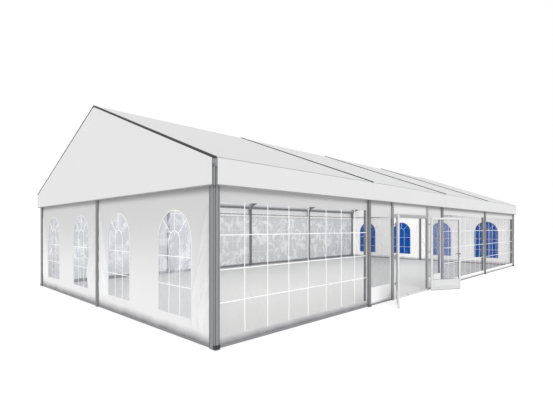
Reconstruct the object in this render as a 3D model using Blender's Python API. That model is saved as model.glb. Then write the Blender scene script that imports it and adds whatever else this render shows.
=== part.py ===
"""A clear-span marquee tent: aluminium frames, keder roof covers, curtain walls with film
windows, a glazed double door and a thin floor deck.

Metres, +Z up. +X runs along the length, the door side faces -Y, and the origin lies on the
ground in the middle of the floor.
"""
import math

import bmesh
import bpy
from mathutils import Matrix, Vector

# Whole tent
BAY = 5.0
BAY_COUNT = 4
HALF_LENGTH = BAY * BAY_COUNT / 2
HALF_WIDTH = 5.0
FRAME_PLACES = [BAY * i - HALF_LENGTH for i in range(BAY_COUNT + 1)]
SEAT_GAP = 0.0003

# Roof shape
RIDGE_Z = 5.249
EAVE_Z = 3.243
EAVE_Y = 5.157
SLOPE = (RIDGE_Z - EAVE_Z) / EAVE_Y
COVER_THICK = 0.008
COVER_RISE = COVER_THICK * math.sqrt(1 + SLOPE * SLOPE)
COVER_END_X = 10.06
KEDER_SLOT = 0.012
VALANCE_Z = 2.771

# Posts and rafters
POST_WIDTH = 0.11
POST_OUTER_Y = 5.07
POST_INNER_Y = 4.91
PLATE_TOE = 0.02
PLATE_THICK = 0.012
RAFTER_DEPTH = 0.15
END_RAFTER_OUTER_X = 10.12
GABLE_PANEL_DROP = 0.03
GABLE_PANEL_HALF_WIDTH = 5.145

# Purlins and the rail that the curtains hang by
PURLIN_WIDTH = 0.08
PURLIN_DEPTH = 0.08
EAVE_PURLIN_DEPTH = 0.11
PURLIN_END_X = 9.985
RAIL_LOW_Z = 2.755
RAIL_TOP_Z = 2.80
RAIL_WIDTH = 0.04

# Curtain walls and their windows
WALL_TOP_Z = 2.80
WALL_THICK = 0.008
WALL_FACE = 0.012
FOOT_HEIGHT = 0.075
FOOT_OUT = 0.03
FOOT_IN = -0.01
WINDOW_LOW_Z = 0.17
WINDOW_TOP_Z = 2.52
BACK_WINDOW_TOP_Z = 2.66
WINDOW_EDGE = 0.05
SIDE_WINDOW_LOW_Z = 0.48
SIDE_WINDOW_TOP_Z = 2.355
SIDE_WINDOW_EDGE = 0.07
ARCH_WIDTH = 1.18
ARCH_SILL_Z = 0.39
ARCH_CROWN_Z = 2.40
ARCH_SEGMENTS = 18
ARCH_PLACES = (-1.24, 1.24)
PANE_THICK = 0.005
PANE_LAP = 0.02

# Doorway
DOOR_X = -2.5
JAMB_OFFSET = 1.2
JAMB_WIDTH = 0.07
FRAME_OUTER_Y = -5.065
FRAME_INNER_Y = -4.99
SILL_HEIGHT = 0.085
TRANSOM_LOW_Z = 2.36
TRANSOM_TOP_Z = 2.455
INFILL_THICK = 0.01

# Door leaves, measured from the hinge axis
AXIS_X_OFFSET = 1.199
AXIS_Y = -5.13
LEAF_EDGE = 0.014
LEAF_FACE = 0.012
LEAF_THICK = 0.045
LEAF_END = 1.195
LEAF_LOW_Z = 0.03
LEAF_TOP_Z = 2.40
STILE_WIDTH = 0.07
GLASS_LOW_Z = 0.36
GLASS_TOP_Z = 2.315
GLASS_THICK = 0.012
LEFT_OPEN_DEG = 152
RIGHT_OPEN_DEG = 152
KNUCKLE_RADIUS = 0.011
KNUCKLE_LENGTH = 0.03
KNUCKLE_PLACES = (0.45, 1.25, 2.15)
KNUCKLE_STEPS = 12
KNUCKLE_STEP = math.radians(270) / KNUCKLE_STEPS
HINGE_ARM = 0.012
HINGE_ARM_ROOT = 0.01
STRAP_OFF = 0.004
STRAP_SUNK = 0.006
HANDLE_Z = 1.19
HANDLE_LENGTH = 0.12
HANDLE_REACH = 0.045
HANDLE_BAR = 0.018
HANDLE_STEP = 0.001
CYLINDER_DROP = 0.085
CYLINDER_PROUD = 0.006

DECK_THICK = 0.03
DECK_REACH_X = 9.985
DECK_REACH_Y = 4.985
DECK_MARGIN = 0.001

# How far cutting tools reach past what they cut
CUT_REACH = 1.0

SIDES = {"front": 0.0, "back": math.pi, "near": -math.pi / 2, "far": math.pi / 2}


def clear_scene():
    for item in list(bpy.data.objects):
        bpy.data.objects.remove(item, do_unlink=True)


def material(name, colour, roughness, metallic=0.0, alpha=1.0):
    surface = bpy.data.materials.new(name)
    surface.use_nodes = True
    shader = surface.node_tree.nodes["Principled BSDF"]
    shader.inputs["Base Color"].default_value = (*colour, 1.0)
    shader.inputs["Roughness"].default_value = roughness
    shader.inputs["Metallic"].default_value = metallic
    shader.inputs["Alpha"].default_value = alpha
    return surface


def finish_named(kind, node):
    looks = {
        "aluminium": ((0.42, 0.43, 0.44), 0.42, 0.9, 1.0),
        "fabric": ((0.86, 0.87, 0.88), 0.55, 0.0, 1.0),
        "film": ((0.78, 0.82, 0.86), 0.12, 0.0, 0.35),
        "blue film": ((0.03, 0.12, 0.42), 0.2, 0.0, 0.7),
        "white metal": ((0.84, 0.85, 0.85), 0.35, 0.2, 1.0),
        "deck": ((0.66, 0.66, 0.65), 0.7, 0.0, 1.0),
    }
    colour, roughness, metallic, alpha = looks[kind]
    return material(node + "_finish", colour, roughness, metallic, alpha)


def add_object(name, mesh, kind, place=(0.0, 0.0, 0.0), turn=0.0):
    item = bpy.data.objects.new(name, mesh)
    item.location = place
    item.rotation_euler = (0.0, 0.0, turn)
    bpy.context.collection.objects.link(item)
    item.data.materials.clear()
    item.data.materials.append(None)
    item.material_slots[0].link = "OBJECT"
    item.material_slots[0].material = finish_named(kind, name)
    return item


def prism(name, outline, low, high, axis):
    """A straight solid: the outline is drawn square to the axis and drawn out along it."""
    order = {"x": (1, 2, 0), "y": (0, 2, 1), "z": (0, 1, 2)}[axis]
    shell = bmesh.new()

    def corner(point, level):
        place = [0.0, 0.0, 0.0]
        place[order[0]], place[order[1]], place[order[2]] = point[0], point[1], level
        return shell.verts.new(place)

    lows = [corner(point, low) for point in outline]
    highs = [corner(point, high) for point in outline]
    caps = [shell.faces.new(lows), shell.faces.new(highs)]
    for i in range(len(outline)):
        j = (i + 1) % len(outline)
        shell.faces.new((lows[i], lows[j], highs[j], highs[i]))
    bmesh.ops.recalc_face_normals(shell, faces=shell.faces)
    bmesh.ops.triangulate(shell, faces=caps, ngon_method="BEAUTY")
    mesh = bpy.data.meshes.new(name)
    shell.to_mesh(mesh)
    shell.free()
    return mesh


def box(name, low, high):
    outline = [(low[0], low[1]), (high[0], low[1]), (high[0], high[1]), (low[0], high[1])]
    return prism(name, outline, low[2], high[2], "z")


def combine(name, base, tools, operation):
    """One mesh from a base and the tools that cut it or join it."""
    body = bpy.data.objects.new(name + "_base", base)
    bpy.context.collection.objects.link(body)
    helpers = []
    for i, tool in enumerate(tools):
        helper = bpy.data.objects.new(name + "_tool_" + str(i), tool)
        helper.hide_render = True
        helper.display_type = "WIRE"
        bpy.context.collection.objects.link(helper)
        step = body.modifiers.new(operation.lower(), "BOOLEAN")
        step.operation = operation
        step.solver = "EXACT"
        step.object = helper
        helpers.append(helper)
    graph = bpy.context.evaluated_depsgraph_get()
    mesh = bpy.data.meshes.new_from_object(body.evaluated_get(graph))
    mesh.name = name
    for item in [body] + helpers:
        bpy.data.objects.remove(item, do_unlink=True)
    return mesh


def mirrored(mesh, name):
    """The same mesh handed the other way across its own YZ plane."""
    copy = mesh.copy()
    copy.name = name
    copy.transform(Matrix.Scale(-1.0, 4, Vector((1.0, 0.0, 0.0))))
    copy.flip_normals()
    return copy


def rafter_top(y):
    return RIDGE_Z - COVER_RISE - SEAT_GAP - SLOPE * abs(y)


def rafter_underside(y):
    return rafter_top(y) - RAFTER_DEPTH


def make_posts():
    """Five posts a side, cut at the top to the slope of the rafter they carry."""
    head_outer = rafter_underside(POST_OUTER_Y) - SEAT_GAP
    head_inner = rafter_underside(POST_INNER_Y) - SEAT_GAP
    outline = [
        (-POST_OUTER_Y - PLATE_TOE, 0.0),
        (-POST_INNER_Y, 0.0),
        (-POST_INNER_Y, head_inner),
        (-POST_OUTER_Y, head_outer),
        (-POST_OUTER_Y, PLATE_THICK),
        (-POST_OUTER_Y - PLATE_TOE, PLATE_THICK),
    ]
    mesh = prism("post", outline, -POST_WIDTH / 2, POST_WIDTH / 2, "x")
    for number, place in enumerate(FRAME_PLACES, 1):
        add_object("front_post_" + str(number), mesh, "aluminium", (place, 0.0, 0.0))
        add_object("back_post_" + str(number), mesh, "aluminium", (place, 0.0, 0.0), math.pi)


def make_rafters():
    """A pair of rafters over each pair of posts; the end pairs also carry the gable panels."""
    reach = EAVE_Y - COVER_THICK - SEAT_GAP
    outline = [
        (-reach, rafter_top(reach)),
        (-reach, rafter_underside(reach)),
        (0.0, rafter_underside(0.0)),
        (reach, rafter_underside(reach)),
        (reach, rafter_top(reach)),
        (0.0, rafter_top(0.0)),
    ]
    for number, place in enumerate(FRAME_PLACES, 1):
        low = place - POST_WIDTH / 2
        high = place + POST_WIDTH / 2
        if number == 1:
            low = -END_RAFTER_OUTER_X
        if number == BAY_COUNT + 1:
            high = END_RAFTER_OUTER_X
        mesh = prism("rafter_pair", outline, low, high, "x")
        add_object("rafter_pair_" + str(number), mesh, "aluminium")


def make_gable_posts():
    head = rafter_underside(POST_WIDTH / 2) - SEAT_GAP
    half = POST_WIDTH / 2
    mesh = box("gable_post", (-half, -half, 0.0), (half, half, head))
    add_object("near_gable_post", mesh, "aluminium", (-HALF_LENGTH, 0.0, 0.0))
    add_object("far_gable_post", mesh, "aluminium", (HALF_LENGTH, 0.0, 0.0))


def make_curtain_rail():
    """One rail round the inside of the posts; the curtains' top hems are laced to it."""
    outer_x = HALF_LENGTH - POST_WIDTH / 2 - SEAT_GAP
    outer_y = POST_INNER_Y - SEAT_GAP
    base = box("rail", (-outer_x, -outer_y, RAIL_LOW_Z), (outer_x, outer_y, RAIL_TOP_Z))
    inner_x = outer_x - RAIL_WIDTH
    inner_y = outer_y - RAIL_WIDTH
    inside = box(
        "rail_inside",
        (-inner_x, -inner_y, RAIL_LOW_Z - CUT_REACH),
        (inner_x, inner_y, RAIL_TOP_Z + CUT_REACH),
    )
    add_object("curtain_rail", combine("curtain_rail", base, [inside], "DIFFERENCE"), "aluminium")


def make_purlins():
    outer = POST_INNER_Y - SEAT_GAP
    top = rafter_underside(outer) - SEAT_GAP
    low = (-PURLIN_END_X, -outer, top - EAVE_PURLIN_DEPTH)
    high = (PURLIN_END_X, PURLIN_WIDTH - outer, top)
    mesh = box("eave_purlin", low, high)
    add_object("front_eave_purlin", mesh, "aluminium")
    add_object("back_eave_purlin", mesh, "aluminium", turn=math.pi)
    half = PURLIN_WIDTH / 2
    ridge_top = rafter_underside(half) - SEAT_GAP
    reach = HALF_LENGTH - POST_WIDTH / 2 - SEAT_GAP
    ridge = box("ridge_purlin", (-reach, -half, ridge_top - PURLIN_DEPTH), (reach, half, ridge_top))
    add_object("ridge_purlin", ridge, "aluminium")


def make_roof_covers():
    """One cover a bay: both slopes and the valances that hang from the eaves."""
    inner_y = EAVE_Y - COVER_THICK
    inner_fold = RIDGE_Z - COVER_RISE - SLOPE * inner_y
    outline = [
        (-EAVE_Y, VALANCE_Z),
        (-EAVE_Y, EAVE_Z),
        (0.0, RIDGE_Z),
        (EAVE_Y, EAVE_Z),
        (EAVE_Y, VALANCE_Z),
        (inner_y, VALANCE_Z),
        (inner_y, inner_fold),
        (0.0, RIDGE_Z - COVER_RISE),
        (-inner_y, inner_fold),
        (-inner_y, VALANCE_Z),
    ]
    for bay in range(BAY_COUNT):
        low = FRAME_PLACES[bay] + KEDER_SLOT
        high = FRAME_PLACES[bay + 1] - KEDER_SLOT
        if bay == 0:
            low = -COVER_END_X
        if bay == BAY_COUNT - 1:
            high = COVER_END_X
        mesh = prism("roof_cover", outline, low, high, "x")
        add_object("roof_cover_" + str(bay + 1), mesh, "fabric")


def make_gable_panels():
    top = rafter_top(0.0) - GABLE_PANEL_DROP
    half = GABLE_PANEL_HALF_WIDTH
    outline = [
        (-half, VALANCE_Z),
        (half, VALANCE_Z),
        (half, top - SLOPE * half),
        (0.0, top),
        (-half, top - SLOPE * half),
    ]
    near = -END_RAFTER_OUTER_X - SEAT_GAP
    mesh = prism("gable_panel", outline, near - COVER_THICK, near, "x")
    add_object("near_gable_panel", mesh, "fabric")
    add_object("far_gable_panel", mesh, "fabric", turn=math.pi)


def curtain(name, width):
    """A curtain with the ground bar in its foot; its outer face looks along -Y."""
    outline = [
        (-FOOT_OUT, 0.0),
        (-FOOT_IN, 0.0),
        (-FOOT_IN, FOOT_HEIGHT),
        (WALL_THICK - WALL_FACE, FOOT_HEIGHT),
        (WALL_THICK - WALL_FACE, WALL_TOP_Z),
        (-WALL_FACE, WALL_TOP_Z),
        (-WALL_FACE, FOOT_HEIGHT),
        (-FOOT_OUT, FOOT_HEIGHT),
    ]
    return prism(name, outline, -width / 2, width / 2, "x")


def window_cutter(outline):
    return prism("window_cutter", outline, -CUT_REACH, CUT_REACH, "y")


def rectangle(low_x, high_x, low_z, high_z):
    return [(low_x, low_z), (high_x, low_z), (high_x, high_z), (low_x, high_z)]


def arch(centre):
    """A round-headed window outline, from the sill's left end round to the right one."""
    radius = ARCH_WIDTH / 2
    spring = ARCH_CROWN_Z - radius
    points = [(centre + radius, ARCH_SILL_Z), (centre - radius, ARCH_SILL_Z)]
    for i in range(ARCH_SEGMENTS + 1):
        angle = math.pi * (1 - i / ARCH_SEGMENTS)
        points.append((centre + radius * math.cos(angle), spring + radius * math.sin(angle)))
    return points


def pane(name, low_x, high_x, low_z, high_z):
    """A sheet of film behind a curtain, lapping the edges of the windows it closes."""
    outer = WALL_THICK - WALL_FACE + SEAT_GAP
    low = (low_x - PANE_LAP, outer, low_z - PANE_LAP)
    high = (high_x + PANE_LAP, outer + PANE_THICK, high_z + PANE_LAP)
    return box(name, low, high)


def long_curtain(side, window_top_z):
    """A long side's curtain with its window cut through, and the film that closes it."""
    width = BAY - POST_WIDTH - 2 * SEAT_GAP
    edge = width / 2 - WINDOW_EDGE
    hole = window_cutter(rectangle(-edge, edge, WINDOW_LOW_Z, window_top_z))
    wall = combine(side + "_long_wall", curtain("curtain", width), [hole], "DIFFERENCE")
    film = pane(side + "_long_window", -edge, edge, WINDOW_LOW_Z, window_top_z)
    return wall, film


def make_long_walls():
    front_wall, front_film = long_curtain("front", WINDOW_TOP_Z)
    back_wall, back_film = long_curtain("back", BACK_WINDOW_TOP_Z)
    for bay in range(BAY_COUNT):
        middle = FRAME_PLACES[bay] + BAY / 2
        number = str(bay + 1)
        if middle != DOOR_X:
            place = (middle, -HALF_WIDTH, 0.0)
            add_object("front_wall_" + number, front_wall, "fabric", place, SIDES["front"])
            add_object("front_window_" + number, front_film, "film", place, SIDES["front"])
        place = (middle, HALF_WIDTH, 0.0)
        add_object("back_wall_" + number, back_wall, "fabric", place, SIDES["back"])
        add_object("back_window_" + number, back_film, "film", place, SIDES["back"])


def make_gable_walls():
    """Two curtains an end, each with two round-headed windows and one sheet of film."""
    width = POST_INNER_Y - POST_WIDTH / 2 - 2 * SEAT_GAP
    middle = (POST_INNER_Y + POST_WIDTH / 2) / 2
    holes = [window_cutter(arch(centre)) for centre in ARCH_PLACES]
    wall = combine("gable_wall", curtain("curtain", width), holes, "DIFFERENCE")
    reach = ARCH_PLACES[1] + ARCH_WIDTH / 2
    film = pane("gable_window", -reach, reach, ARCH_SILL_Z, ARCH_CROWN_Z)
    for end, end_x in (("near", -HALF_LENGTH), ("far", HALF_LENGTH)):
        glazing = "film" if end == "near" else "blue film"
        for side, sign in (("front", -1), ("back", 1)):
            place = (end_x, sign * middle, 0.0)
            name = end + "_gable_wall_" + side
            add_object(name, wall, "fabric", place, SIDES[end])
            name = end + "_gable_window_" + side
            add_object(name, film, glazing, place, SIDES[end])


def make_door_side_walls():
    """Two narrow curtains fill the door bay between its posts and the door frame."""
    post_face = BAY / 2 - POST_WIDTH / 2
    jamb_face = JAMB_OFFSET + JAMB_WIDTH / 2
    width = post_face - jamb_face - 2 * SEAT_GAP
    edge = width / 2 - SIDE_WINDOW_EDGE
    hole = window_cutter(rectangle(-edge, edge, SIDE_WINDOW_LOW_Z, SIDE_WINDOW_TOP_Z))
    wall = combine("door_side_wall", curtain("curtain", width), [hole], "DIFFERENCE")
    film = pane("door_side_window", -edge, edge, SIDE_WINDOW_LOW_Z, SIDE_WINDOW_TOP_Z)
    for side, sign in (("left", -1), ("right", 1)):
        place = (DOOR_X + sign * (post_face + jamb_face) / 2, -HALF_WIDTH, 0.0)
        add_object("door_side_wall_" + side, wall, "fabric", place)
        add_object("door_side_window_" + side, film, "film", place)


def jamb_knuckle(low_z):
    """A hinge eye on an arm from the jamb, in the left jamb's place about its axis."""
    radius = KNUCKLE_RADIUS
    root = FRAME_OUTER_Y - AXIS_Y + HINGE_ARM_ROOT
    points = [(-radius, root), (-radius, 0.0)]
    for step in range(1, KNUCKLE_STEPS):
        angle = math.pi + step * KNUCKLE_STEP
        points.append((radius * math.cos(angle), radius * math.sin(angle)))
    points.append((HINGE_ARM - radius, radius))
    points.append((HINGE_ARM - radius, root))
    return prism("jamb_knuckle", points, low_z, low_z + KNUCKLE_LENGTH, "z")


def leaf_knuckle(low_z):
    """A hinge eye on a strap that lies on the leaf's outer face."""
    radius = KNUCKLE_RADIUS
    strap = LEAF_EDGE + STILE_WIDTH / 2
    points = [(0.0, radius)]
    for step in range(1, KNUCKLE_STEPS):
        angle = math.pi / 2 + step * KNUCKLE_STEP
        points.append((radius * math.cos(angle), radius * math.sin(angle)))
    points.append((radius, 0.0))
    points.append((strap, STRAP_OFF))
    points.append((strap, LEAF_FACE + STRAP_SUNK))
    points.append((LEAF_EDGE + STRAP_OFF, LEAF_FACE + STRAP_SUNK))
    return prism("leaf_knuckle", points, low_z, low_z + KNUCKLE_LENGTH, "z")


def make_door_frame():
    """Jambs up to the curtain rail's height, sill, transom and a thin infill above it."""
    outer = JAMB_OFFSET + JAMB_WIDTH / 2
    inner = JAMB_OFFSET - JAMB_WIDTH / 2
    base = box(
        "door_frame", (-outer, FRAME_OUTER_Y, 0.0), (outer, FRAME_INNER_Y, WALL_TOP_Z)
    )
    middle_y = (FRAME_OUTER_Y + FRAME_INNER_Y) / 2
    front = FRAME_OUTER_Y - CUT_REACH
    rear = FRAME_INNER_Y + CUT_REACH
    doorway = box("doorway", (-inner, front, SILL_HEIGHT), (inner, rear, TRANSOM_LOW_Z))
    outside = box(
        "outside_recess",
        (-inner, front, TRANSOM_TOP_Z),
        (inner, middle_y - INFILL_THICK / 2, WALL_TOP_Z + CUT_REACH),
    )
    inside = box(
        "inside_recess",
        (-inner, middle_y + INFILL_THICK / 2, TRANSOM_TOP_Z),
        (inner, rear, WALL_TOP_Z + CUT_REACH),
    )
    cut = combine("door_frame_cut", base, [doorway, outside, inside], "DIFFERENCE")
    knuckles = []
    for low_z in KNUCKLE_PLACES:
        left = jamb_knuckle(low_z)
        right = mirrored(left, "right_jamb_knuckle")
        left.transform(Matrix.Translation((-AXIS_X_OFFSET, AXIS_Y, 0.0)))
        right.transform(Matrix.Translation((AXIS_X_OFFSET, AXIS_Y, 0.0)))
        knuckles += [left, right]
    mesh = combine("door_frame", cut, knuckles, "UNION")
    add_object("door_frame", mesh, "aluminium", (DOOR_X, 0.0, 0.0))


def handle_parts():
    """Two levers and the lock cylinder, on both faces of the leaf near its free edge."""
    along = LEAF_END - STILE_WIDTH / 2
    middle = LEAF_FACE + LEAF_THICK / 2
    reach = LEAF_THICK / 2 + HANDLE_REACH
    half = HANDLE_BAR / 2
    spindle = box(
        "spindle",
        (along - half, middle - reach, HANDLE_Z - half),
        (along + half, middle + reach, HANDLE_Z + half),
    )
    parts = [spindle]
    for side in (-1, 1):
        grip = middle + side * (reach - half)
        parts.append(
            box(
                "lever",
                (along - HANDLE_LENGTH, grip - half, HANDLE_Z - half + HANDLE_STEP),
                (along + half - HANDLE_STEP, grip + half - HANDLE_STEP, HANDLE_Z + half - HANDLE_STEP),
            )
        )
    proud = LEAF_THICK / 2 + CYLINDER_PROUD
    cylinder_z = HANDLE_Z - CYLINDER_DROP
    parts.append(
        box(
            "lock_cylinder",
            (along - half, middle - proud, cylinder_z - 2 * half),
            (along + half, middle + proud, cylinder_z + half),
        )
    )
    return parts


def make_leaf_mesh(with_handle):
    """A leaf that hangs from the axis at x = 0 and reaches along +X when it is shut."""
    base = box(
        "leaf", (LEAF_EDGE, LEAF_FACE, LEAF_LOW_Z), (LEAF_END, LEAF_FACE + LEAF_THICK, LEAF_TOP_Z)
    )
    hole = box(
        "leaf_hole",
        (LEAF_EDGE + STILE_WIDTH, -CUT_REACH, GLASS_LOW_Z),
        (LEAF_END - STILE_WIDTH, CUT_REACH, GLASS_TOP_Z),
    )
    cut = combine("leaf_cut", base, [hole], "DIFFERENCE")
    extras = [leaf_knuckle(low_z + KNUCKLE_LENGTH + SEAT_GAP) for low_z in KNUCKLE_PLACES]
    if with_handle:
        extras += handle_parts()
    return combine("leaf", cut, extras, "UNION")


def make_glass_mesh():
    middle = LEAF_FACE + LEAF_THICK / 2
    low = (LEAF_EDGE + STILE_WIDTH + SEAT_GAP, middle - GLASS_THICK / 2, GLASS_LOW_Z + SEAT_GAP)
    high = (LEAF_END - STILE_WIDTH - SEAT_GAP, middle + GLASS_THICK / 2, GLASS_TOP_Z - SEAT_GAP)
    return box("leaf_glass", low, high)


def make_door_leaves():
    """Both leaves stand open, as far round as they are folded back."""
    left_place = (DOOR_X - AXIS_X_OFFSET, AXIS_Y, 0.0)
    right_place = (DOOR_X + AXIS_X_OFFSET, AXIS_Y, 0.0)
    left_turn = -math.radians(LEFT_OPEN_DEG)
    right_turn = math.radians(RIGHT_OPEN_DEG)
    glass = make_glass_mesh()
    right_leaf = mirrored(make_leaf_mesh(True), "right_leaf")
    right_glass = mirrored(glass, "right_glass")
    add_object("left_door_leaf", make_leaf_mesh(False), "white metal", left_place, left_turn)
    add_object("left_leaf_glass", glass, "film", left_place, left_turn)
    add_object("right_door_leaf", right_leaf, "white metal", right_place, right_turn)
    add_object("right_leaf_glass", right_glass, "film", right_place, right_turn)


def deck_lines(notch, post_y):
    """The lines that the deck is cut along, lengthways and across, at the faces of the posts."""
    across = {-DECK_REACH_X, DECK_REACH_X}
    for place in FRAME_PLACES:
        across.add(place - notch)
        across.add(place + notch)
    inside = sorted(line for line in across if abs(line) <= DECK_REACH_X)
    along = [-DECK_REACH_Y, -post_y, -notch, notch, post_y, DECK_REACH_Y]
    return inside, along


def make_floor_deck():
    """One flat deck that fills the space inside the walls and steps round the posts."""
    notch = POST_WIDTH / 2 + DECK_MARGIN
    post_y = POST_INNER_Y - DECK_MARGIN
    across, along = deck_lines(notch, post_y)
    shell = bmesh.new()
    corners = {}
    for x in across:
        for y in along:
            corners[x, y] = shell.verts.new((x, y, 0.0))
    for low_x, high_x in zip(across, across[1:]):
        for low_y, high_y in zip(along, along[1:]):
            x = (low_x + high_x) / 2
            y = (low_y + high_y) / 2
            in_frame_line = any(abs(x - place) < notch for place in FRAME_PLACES)
            in_gable_post = abs(x) > HALF_LENGTH - notch and abs(y) < notch
            if in_gable_post or (in_frame_line and abs(y) > post_y):
                continue
            loop = ((low_x, low_y), (high_x, low_y), (high_x, high_y), (low_x, high_y))
            shell.faces.new([corners[point] for point in loop])
    loose = [corner for corner in shell.verts if not corner.link_faces]
    bmesh.ops.delete(shell, geom=loose, context="VERTS")
    raised = bmesh.ops.extrude_face_region(shell, geom=shell.faces[:])
    tops = [item for item in raised["geom"] if isinstance(item, bmesh.types.BMVert)]
    bmesh.ops.translate(shell, verts=tops, vec=(0.0, 0.0, DECK_THICK))
    bmesh.ops.recalc_face_normals(shell, faces=shell.faces)
    mesh = bpy.data.meshes.new("floor_deck")
    shell.to_mesh(mesh)
    shell.free()
    add_object("floor_deck", mesh, "deck")


def main():
    clear_scene()
    make_posts()
    make_rafters()
    make_gable_posts()
    make_curtain_rail()
    make_purlins()
    make_roof_covers()
    make_gable_panels()
    make_long_walls()
    make_gable_walls()
    make_door_side_walls()
    make_door_frame()
    make_door_leaves()
    make_floor_deck()


main()
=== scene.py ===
import math

import bmesh
import bpy
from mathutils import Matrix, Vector, geometry, noise


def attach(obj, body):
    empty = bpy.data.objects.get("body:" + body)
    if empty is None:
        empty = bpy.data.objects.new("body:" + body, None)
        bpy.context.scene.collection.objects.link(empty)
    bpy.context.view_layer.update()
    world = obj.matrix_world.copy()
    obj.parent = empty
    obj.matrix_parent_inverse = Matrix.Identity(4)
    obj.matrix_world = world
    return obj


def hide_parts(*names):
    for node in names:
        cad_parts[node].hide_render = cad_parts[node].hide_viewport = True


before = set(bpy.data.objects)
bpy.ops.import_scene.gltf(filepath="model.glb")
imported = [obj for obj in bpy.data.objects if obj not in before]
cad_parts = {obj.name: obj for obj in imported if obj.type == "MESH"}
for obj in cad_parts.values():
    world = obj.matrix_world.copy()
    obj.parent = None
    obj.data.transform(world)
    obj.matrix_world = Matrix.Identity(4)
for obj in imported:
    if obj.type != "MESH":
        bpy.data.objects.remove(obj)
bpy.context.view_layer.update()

# The tent's main measures, in metres, as its source has them
BAY = 5.0
FRAME_LINES = (-10.0, -5.0, 0.0, 5.0, 10.0)
HALF_WIDTH = 5.0
SEAT_GAP = 0.0003
RIDGE_Z = 5.249
EAVE_Z = 3.243
EAVE_Y = 5.157
SLOPE = (RIDGE_Z - EAVE_Z) / EAVE_Y
COVER_THICK = 0.008
COVER_RISE = COVER_THICK * math.sqrt(1 + SLOPE * SLOPE)
COVER_END_X = 10.06
EAVE_STRIP_Y = 4.5
KEDER_SLOT = 0.012
VALANCE_Z = 2.771
POST_WIDTH = 0.11
POST_OUTER_Y = 5.07
POST_INNER_Y = 4.91
PLATE_TOE = 0.02
PLATE_THICK = 0.012
RAFTER_DEPTH = 0.15
EAVE_RAIL_Y = 4.87
EAVE_RAIL_HEIGHT = 0.07
END_RAFTER_X = 10.12
PANEL_DROP = 0.03
PANEL_HALF = 5.09
WALL_TOP = 2.80
WALL_FACE = 0.012
FOOT_HEIGHT = 0.075
FOOT_OUT = 0.03
FOOT_IN = -0.01
WINDOW_LOW = 0.17
WINDOW_TOP = 2.52
BACK_WINDOW_TOP = 2.66
WINDOW_EDGE = 0.05
SIDE_WINDOW_LOW = 0.48
SIDE_WINDOW_TOP = 2.355
SIDE_WINDOW_EDGE = 0.07
ARCH_WIDTH = 1.18
ARCH_SILL = 0.39
ARCH_CROWN = 2.40
ARCH_RADIUS = ARCH_WIDTH / 2
ARCH_SPRING = ARCH_CROWN - ARCH_RADIUS
ARCH_PLACES = (-1.24, 1.24)
DOOR_X = -2.5
JAMB_OFFSET = 1.2
JAMB_WIDTH = 0.07
FRAME_OUTER_Y = -5.065
FRAME_INNER_Y = -4.99
SILL_HEIGHT = 0.085
TRANSOM_LOW = 2.36
TRANSOM_TOP = 2.455
AXIS_OFFSET = 1.199
AXIS_Y = -5.13
LEAF_EDGE = 0.014
LEAF_FACE = 0.012
LEAF_THICK = 0.045
LEAF_END = 1.195
LEAF_LOW = 0.03
LEAF_TOP = 2.40
STILE_WIDTH = 0.07
GLASS_LOW = 0.36
GLASS_TOP = 2.315
GLASS_THICK = 0.012
LEAF_TURNS = {"left": -math.radians(152), "right": math.radians(152)}
KNUCKLE_RADIUS = 0.011
KNUCKLE_LENGTH = 0.03
KNUCKLE_PLACES = (0.45, 1.25, 2.15)
HANDLE_Z = 1.19
CYLINDER_DROP = 0.085

# Cloth, film and trim
CLOTH = 0.003
FILM = 0.0016
RIM = 0.0014
CLOTH_OFF = WALL_FACE - CLOTH / 2
FILM_OFF = 0.004
FILM_LAP = 0.02
STRIP_WIDTH = 0.016
STRIP_THICK = 0.0046
PANEL_FACE_X = END_RAFTER_X + SEAT_GAP + COVER_THICK
BAR_ROWS = (0.768, 1.338, 1.938)
BAR_COLUMNS = (-1.822, -1.226, -0.613, 0.014, 0.666, 1.28, 1.853)
ARCH_ROWS = {"near": (0.95, 1.51), "far": (0.83, 1.43)}

# On which side of the tent's middle each wall or leaf is, and how far its curtains are turned
LONG_SIDES = {"front": -1, "back": 1}
ENDS = {"near": -1, "far": 1}
LEAF_SIDES = {"left": -1, "right": 1}
SIDE_TURN = {"front": 0.0, "back": math.pi, "near": -math.pi / 2, "far": math.pi / 2}

# Fittings and hems
KEDER_MOUTH = 0.011
KEDER_LIP = 0.003
KEDER_CHAMBER = 0.017
KEDER_BED = 0.014
FOOT_BOLT_REACH = 0.038
WASHER_THICK = 0.0025
SHOE_HEIGHT = 0.03
CORNER_SHOE_HEIGHT = 0.07
SHOE_WALL = 0.006
CORNER_PROFILE_X = 10.093
CORNER_PROFILE_Y = 5.108
JOINT_PLATE_SPANS = ((-0.42, -0.002), (0.002, 0.42), (-5.06, -4.72), (4.72, 5.06))
JOINT_PLATE_THICK = 0.006
JOINT_PLATE_DROP = 0.03
JOINT_PLATE_DEPTH = 0.09
HEM_BAR_WIDTH = 0.012
HEM_BAR_HEIGHT = 0.02
HEM_BAR_Z = VALANCE_Z + 0.009
EAVE_BEAD = 0.009
CLOTH_FOOT_Z = FOOT_HEIGHT - 0.025
GROUND_BAR_Z = 0.0295
STRIP_LIFT = 0.0004
GASKET = 0.006

# How far cloth and film hang out of true
ROOF_SAG = 0.022
ROOF_PUFF = 0.006
VALANCE_WAVE = 0.006
PANEL_WAVE = 0.006
PANEL_SAG = 0.01
WALL_WAVE = 0.006
SILL_CREASES = (-0.36, -0.05, 0.31)
SILL_CREASE_DEPTH = 0.014

# How slack the curtains hang, how far a fold may stand out right at a post, and how much
# further for each metre away from it on a curtain's left and right half
GABLE_SLACK = 2.2
LONG_SLACK = 0.15
FOLD_START = 0.014
LEFT_FOLD_RISE = 0.24
RIGHT_FOLD_RISE = 0.9

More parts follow.
